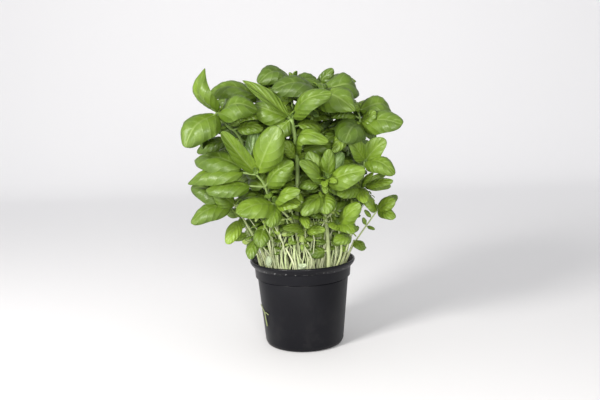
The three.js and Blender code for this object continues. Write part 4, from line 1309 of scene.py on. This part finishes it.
back_shoots = []
for row_y, columns, levels in BACK_ROWS:
    for column in columns:
        x = column + draw(-3, 3)
        y = row_y + draw(-3, 3)
        top = CROWN_HEIGHT - CROWN_FALL * (x * x + y * y) + draw(-7, 7)
        turn = draw(0, math.pi)
        tiers = []
        for level in reversed(range(levels)):
            z = top - WHORL_STEP * level
            share = (z - SOIL_HEIGHT) / (top - SOIL_HEIGHT)
            spread = SOIL_SHARE + (1 - SOIL_SHARE) * share * share
            at = (x * spread, y * spread, z)
            leaves = []
            for pair in range(2):
                heading = turn + level * (math.pi / 2) + pair * math.pi + draw(-0.3, 0.3)
                length = LEAF_LENGTHS[level] * draw(0.88, 1.12)
                pitch = LEAF_PITCHES[level] + draw(-0.15, 0.15)
                tip = ahead(at, heading, pitch, length)
                face = (0.4 * math.cos(heading), 0.4 * math.sin(heading), 0.9)
                wide = length * draw(0.6, 0.72)
                arch = draw(0.14, 0.22)
                cup = draw(0.5, 0.8)
                leaves.append(leaf(tip, face, wide, arch, cup, 0.1, TOP_TONE - TONE_STEP * level))
            tiers.append(whorl(at, *leaves))
        name = f"stem_back_{len(back_shoots) + 1}"
        back_shoots.append(shoot(name, (SOIL_SHARE * x, SOIL_SHARE * y), 3, tiers))

for grower in back_shoots:
    parts = leafy_stem(grower, *BACK_BLADE_NET, whim)
    parts += leaf_parts(shade_leaves(grower), *BACK_SHADE_NETS, whim)
    parts += leaf_parts(fill_leaves(grower, BACK_FILL_TRIES, whim), *BACK_FILL_NETS, whim)
    piece = grown_piece(f"{grower['name']}_growth", parts, (basil_leaf, basil_stem))
    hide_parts(grower["name"])


# Young plants
# Pale thin stems all round, each with two small leaves and a growing tip, grown later from the same sowing.
# They go on with the part's own draw, and those that found no room in the part are left out.
SEEDLINGS = 14
SEEDLING_NET = (32, 32)
SEEDLING_TONE = 0.75
GOLDEN_TURN = 2.39996
SEEDLING_STOPS = [
    (0.0, 0.06, 0.13, 0.015),
    (0.4, 0.17, 0.28, 0.03),
    (0.8, 0.33, 0.44, 0.09),
    (1.0, 0.46, 0.54, 0.34),
]
seedling_leaf = leaf_material("young leaf", SEEDLING_STOPS, (0.24, 0.34, 0.12, 1))
seedling_stem = stem_material("young stem", (0.62, 0.66, 0.42), (0.36, 0.48, 0.16))

for number in range(1, SEEDLINGS + 1):
    angle = (number - 1) * GOLDEN_TURN + draw(-0.2, 0.2)
    reach = draw(26, 42)
    base = (reach * math.cos(angle), reach * math.sin(angle))
    height = draw(26, 56)
    spread = draw(1.05, 1.3)
    at = (base[0] * spread, base[1] * spread, SOIL_HEIGHT + height)
    turn = draw(0, math.pi)
    leaves = []
    for pair in range(2):
        heading = turn + pair * math.pi + draw(-0.4, 0.4)
        length = draw(11, 18)
        tip = (at[0] + length * math.cos(heading), at[1] + length * math.sin(heading), at[2] + draw(-3, 7))
        face = (0.5 * math.cos(angle), 0.5 * math.sin(angle), 0.8)
        leaves.append(leaf(tip, face, length * draw(0.65, 0.8), 0.12, 0.5, 0.1, SEEDLING_TONE))
    grower = shoot(f"seedling_{number}", base, 1.7, [whorl(at, *leaves)], taper=0.8)
    if grower["name"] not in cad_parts:
        continue
    parts = leafy_stem(grower, *SEEDLING_NET, whim)
    piece = grown_piece(f"{grower['name']}_growth", parts, (seedling_leaf, seedling_stem))
    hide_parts(grower["name"])


# Fine sprouts
# The thinnest growth between the stems, too fine for the part: thread-like pale stems in small tufts, more
# of them towards the rim, where light reaches the peat. The taller ones carry tiny leaves, up to four each.
FINE_SPROUTS = 320
TUFT = 6
TUFT_SPREAD = 2.6
TUFT_PLACES = (0.3, 1)
SPROUT_REACH = 43.2
SPROUT_HEIGHTS = (28, 76)
SPROUT_THICK = (0.9, 2.5)
SPROUT_TONES = (0.1, 1.1)
SPROUT_STEPS = 3
SPROUT_SIDES = 6

# How far a sprout leans outward and strays for its height, at its top and at its knee halfway up
SPROUT_LEAN = 0.25
TOP_STRAY = 0.14
KNEE_LEAN = 0.35
KNEE_STRAY = 0.08
KNEE_REACH = 47

# The height under which a sprout has no leaves, drawn for each, and the leaves' sizes, pitches and tones
LOWEST_LEAVES = (104, 124)
TINY_LENGTHS = (4.5, 10)
TINY_SLIMNESS = (0.5, 0.8)
TINY_TONES = (0.45, 0.85)
TINY_PITCHES = (-0.4, 0.6)
TINY_SCATTER = 0.25
TINY_NET = (7, 8)

# Pale seed leaves that show at the rim, each by its foot, its tip and its width; their very pale tone is
# partly their own colour and partly painted highlight
PALE_HIGHLIGHT_TONE = 1.2
PALE_LEAVES = [
    ((-32, -39, 86), (-32, -43, 98), 7.5),
    ((-6, -42, 85), (4, -45, 89), 6.5),
    ((3, -43, 84), (-4, -46, 90), 5),
]

sprout_rng = np.random.default_rng(12)


def within(place, reach):
    """The same place, drawn inward where it is further out than this."""
    share = min(1, reach / math.hypot(place[0], place[1]))
    return np.array((share * place[0], share * place[1], place[2]))


def fine_sprout(tuft):
    """A thread of a stem that leans outward and bows, with pairs of tiny leaves at its top and its knee."""
    foot = within(tuft + (*sprout_rng.normal(0, TUFT_SPREAD, 2), 0), SPROUT_REACH)
    outward = unit(foot)
    height = sprout_rng.uniform(*SPROUT_HEIGHTS)
    lean = sprout_rng.uniform(0, SPROUT_LEAN) * height
    knee = foot + KNEE_LEAN * lean * outward
    knee += (*sprout_rng.normal(0, KNEE_STRAY * height, 2), SOIL_HEIGHT + 0.5 * height)
    knee = within(knee, KNEE_REACH)
    top = foot + lean * outward
    top += (*sprout_rng.normal(0, TOP_STRAY * height, 2), SOIL_HEIGHT + height)
    thick = sprout_rng.uniform(*SPROUT_THICK)
    grower = shoot("", tuple(foot[:2]), thick, [whorl(tuple(knee)), whorl(tuple(top))])
    made = [stem_part(grower, SPROUT_STEPS, SPROUT_SIDES, tone=sprout_rng.uniform(*SPROUT_TONES))]
    turn = sprout_rng.uniform(0, math.pi)
    lowest = sprout_rng.uniform(*LOWEST_LEAVES)
    for start in (top, knee):
        if start[2] < lowest:
            continue
        for heading in (turn, turn + math.pi):
            length = sprout_rng.uniform(*TINY_LENGTHS)
            wide = length * sprout_rng.uniform(*TINY_SLIMNESS)
            tone = sprout_rng.uniform(*TINY_TONES)
            pitch = sprout_rng.uniform(*TINY_PITCHES)
            scatter = sprout_rng.normal(0, TINY_SCATTER, 3)
            blade = lit_leaflet(start, heading, pitch, length, wide, tone, scatter)
            made.append(blade_part(blade, *TINY_NET, sprout_rng))
        turn += math.pi / 2
    return made


sprout_parts = []
for number in range(FINE_SPROUTS):
    if number % TUFT == 0:
        angle = number // TUFT * GOLDEN_TURN
        reach = SPROUT_REACH * math.sqrt(sprout_rng.uniform(*TUFT_PLACES))
        tuft = np.array((reach * math.cos(angle), reach * math.sin(angle), 0))
    sprout_parts += fine_sprout(tuft)
for foot, tip, wide in PALE_LEAVES:
    blade = bent(leaf(tip, (0, -0.9, 0.4), wide, 0.1, 0.6, 0.08, PALE_HIGHLIGHT_TONE), foot)
    sprout_parts.append(blade_part(blade, *YOUNG_NET, sprout_rng))
piece = grown_piece("fine_sprouts", sprout_parts, (seedling_leaf, seedling_stem))


# Stray sprout
# A thin bit of sprout that has stuck to the left of the pot's wall, with a short side shoot. It is soft
# green growth like the stems above, and duller than they are.
STRAY_RADIUS = 0.6
STRAY_CLEAR = 1.0
STRAY_END = 0.6
STRAY_STEPS = 12
STRAY_SIDES = 8

# The pot's wall by the radius and height of its foot and of its top
WALL_FOOT = (39.4, 4)
WALL_TOP = (45.6, 68.5)

# The sprout and its side shoot, by turns round the pot in radians and heights
STRAY_STEM = [(-2.63, 22.5), (-2.66, 29), (-2.68, 36), (-2.8, 40), (-2.91, 42)]
STRAY_BRANCH = [(-2.68, 36), (-2.59, 36.6), (-2.51, 35.4)]


def on_wall(angle, height):
    """A place just off the pot's wall."""
    share = (height - WALL_FOOT[1]) / (WALL_TOP[1] - WALL_FOOT[1])
    reach = WALL_FOOT[0] + (WALL_TOP[0] - WALL_FOOT[0]) * share + STRAY_CLEAR
    return (reach * math.cos(angle), reach * math.sin(angle), height)


stray_stem = stem_material("stray stem", (0.28, 0.32, 0.14), (0.2, 0.26, 0.1))
parts = []
for line in (STRAY_STEM, STRAY_BRANCH):
    angles, heights = np.array(line).T
    places = np.linspace(0, len(line) - 1, STRAY_STEPS)
    steps = np.arange(len(line))
    points = np.array([
        on_wall(angle, height)
        for angle, height in zip(np.interp(places, steps, angles), np.interp(places, steps, heights))
    ])
    radii = np.linspace(STRAY_RADIUS, STRAY_RADIUS * STRAY_END, STRAY_STEPS)
    parts.append(tube_part(points, radii, STRAY_SIDES))
piece = grown_piece("stray_sprout_growth", parts, (seedling_leaf, stray_stem))
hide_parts("stray_sprout")


# Floor, light and camera
# A pale seamless floor that curves up behind, with painted light and shade that make it darker in front and
# lighter further back, a soft lamp from the upper left, a weaker one from the front, and even room light.
# The camera stands where the photo's camera stood.
FOCAL_LENGTH = 42
CAMERA_PLACE = (-0.602, -690.446, 236.620)
CAMERA_PITCH = math.radians(7.6)
CAMERA_ROLL = math.radians(1.8)

# In metres, as the floor's grid is
FLOOR_HALF = 3.0
FLOOR_BACK = 1.2
COVE_RADIUS = 0.6
# The floor's colour from front to back: painted shade in front and painted light further back
FLOOR_PAINTED_LIGHT_SPAN = (-0.2, 1.4)
FLOOR_PAINTED_LIGHT_STOPS = [(0, 0.64, 0.635, 0.64), (1, 0.9, 0.895, 0.905)]
LAMP_SIZE = 0.3
LAMP_COLOUR = (1, 0.98, 0.95)
ROOM_COLOUR = (0.98, 0.985, 1, 1)
ROOM_STRENGTH = 0.72

select_only()
bpy.ops.mesh.primitive_grid_add(x_subdivisions=2, y_subdivisions=120, size=2 * FLOOR_HALF)
floor = bpy.context.object
floor.name = "pale_floor"
for vertex in floor.data.vertices:
    past = vertex.co.y - FLOOR_BACK
    if past > 0:
        turn = min(past / COVE_RADIUS, math.pi / 2)
        rest = max(0, past - COVE_RADIUS * math.pi / 2)
        vertex.co.y = FLOOR_BACK + COVE_RADIUS * math.sin(turn)
        vertex.co.z = COVE_RADIUS * (1 - math.cos(turn)) + rest
bpy.ops.object.shade_smooth()
material, tree = new_material("pale floor")
depth = node(tree, "ShaderNodeSeparateXYZ", {0: object_place(tree)}).outputs["Y"]
# Painted light and shade: the floor is darker in front and lighter further back
floor_painted_light = ramp(tree, span(tree, depth, *FLOOR_PAINTED_LIGHT_SPAN), FLOOR_PAINTED_LIGHT_STOPS)
plain_surface(tree, {"Base Color": floor_painted_light, "Roughness": 0.8})
floor.data.materials.append(material)


def area_lamp(name, place, aim, power):
    """A square lamp at a place in metres, turned to its aim, with its power in watts."""
    data = bpy.data.lights.new(name, "AREA")
    data.size = LAMP_SIZE
    data.energy = power
    data.color = LAMP_COLOUR
    lamp = bpy.data.objects.new(name, data)
    lamp.location = place
    lamp.rotation_euler = (Vector(aim) - Vector(place)).to_track_quat("-Z", "Y").to_euler()
    bpy.context.scene.collection.objects.link(lamp)


area_lamp("left lamp", place=(-0.74, -0.79, 0.62), aim=(0, 0, 0.15), power=18)
area_lamp("front lamp", place=(0.12, -1.1, 0.38), aim=(0, 0, 0.12), power=9.5)

world = bpy.data.worlds.new("room light")
world.use_nodes = True
backdrop = world.node_tree.nodes["Background"]
backdrop.inputs["Color"].default_value = ROOM_COLOUR
backdrop.inputs["Strength"].default_value = ROOM_STRENGTH
bpy.context.scene.world = world
bpy.context.scene.view_settings.view_transform = "Standard"

forward = Vector((0, math.cos(CAMERA_PITCH), -math.sin(CAMERA_PITCH)))
level = Vector((1, 0, 0))
raised = level.cross(forward)
right = math.cos(CAMERA_ROLL) * level - math.sin(CAMERA_ROLL) * raised
upward = math.cos(CAMERA_ROLL) * raised + math.sin(CAMERA_ROLL) * level
turned = Matrix((right, upward, -forward)).transposed().to_4x4()
camera_data = bpy.data.cameras.new("photo camera")
camera_data.lens = FOCAL_LENGTH
camera_data.clip_start = 0.01
camera = bpy.data.objects.new("photo camera", camera_data)
camera.matrix_world = Matrix.Translation(Vector(CAMERA_PLACE) * MM) @ turned
bpy.context.scene.collection.objects.link(camera)
bpy.context.scene.camera = camera
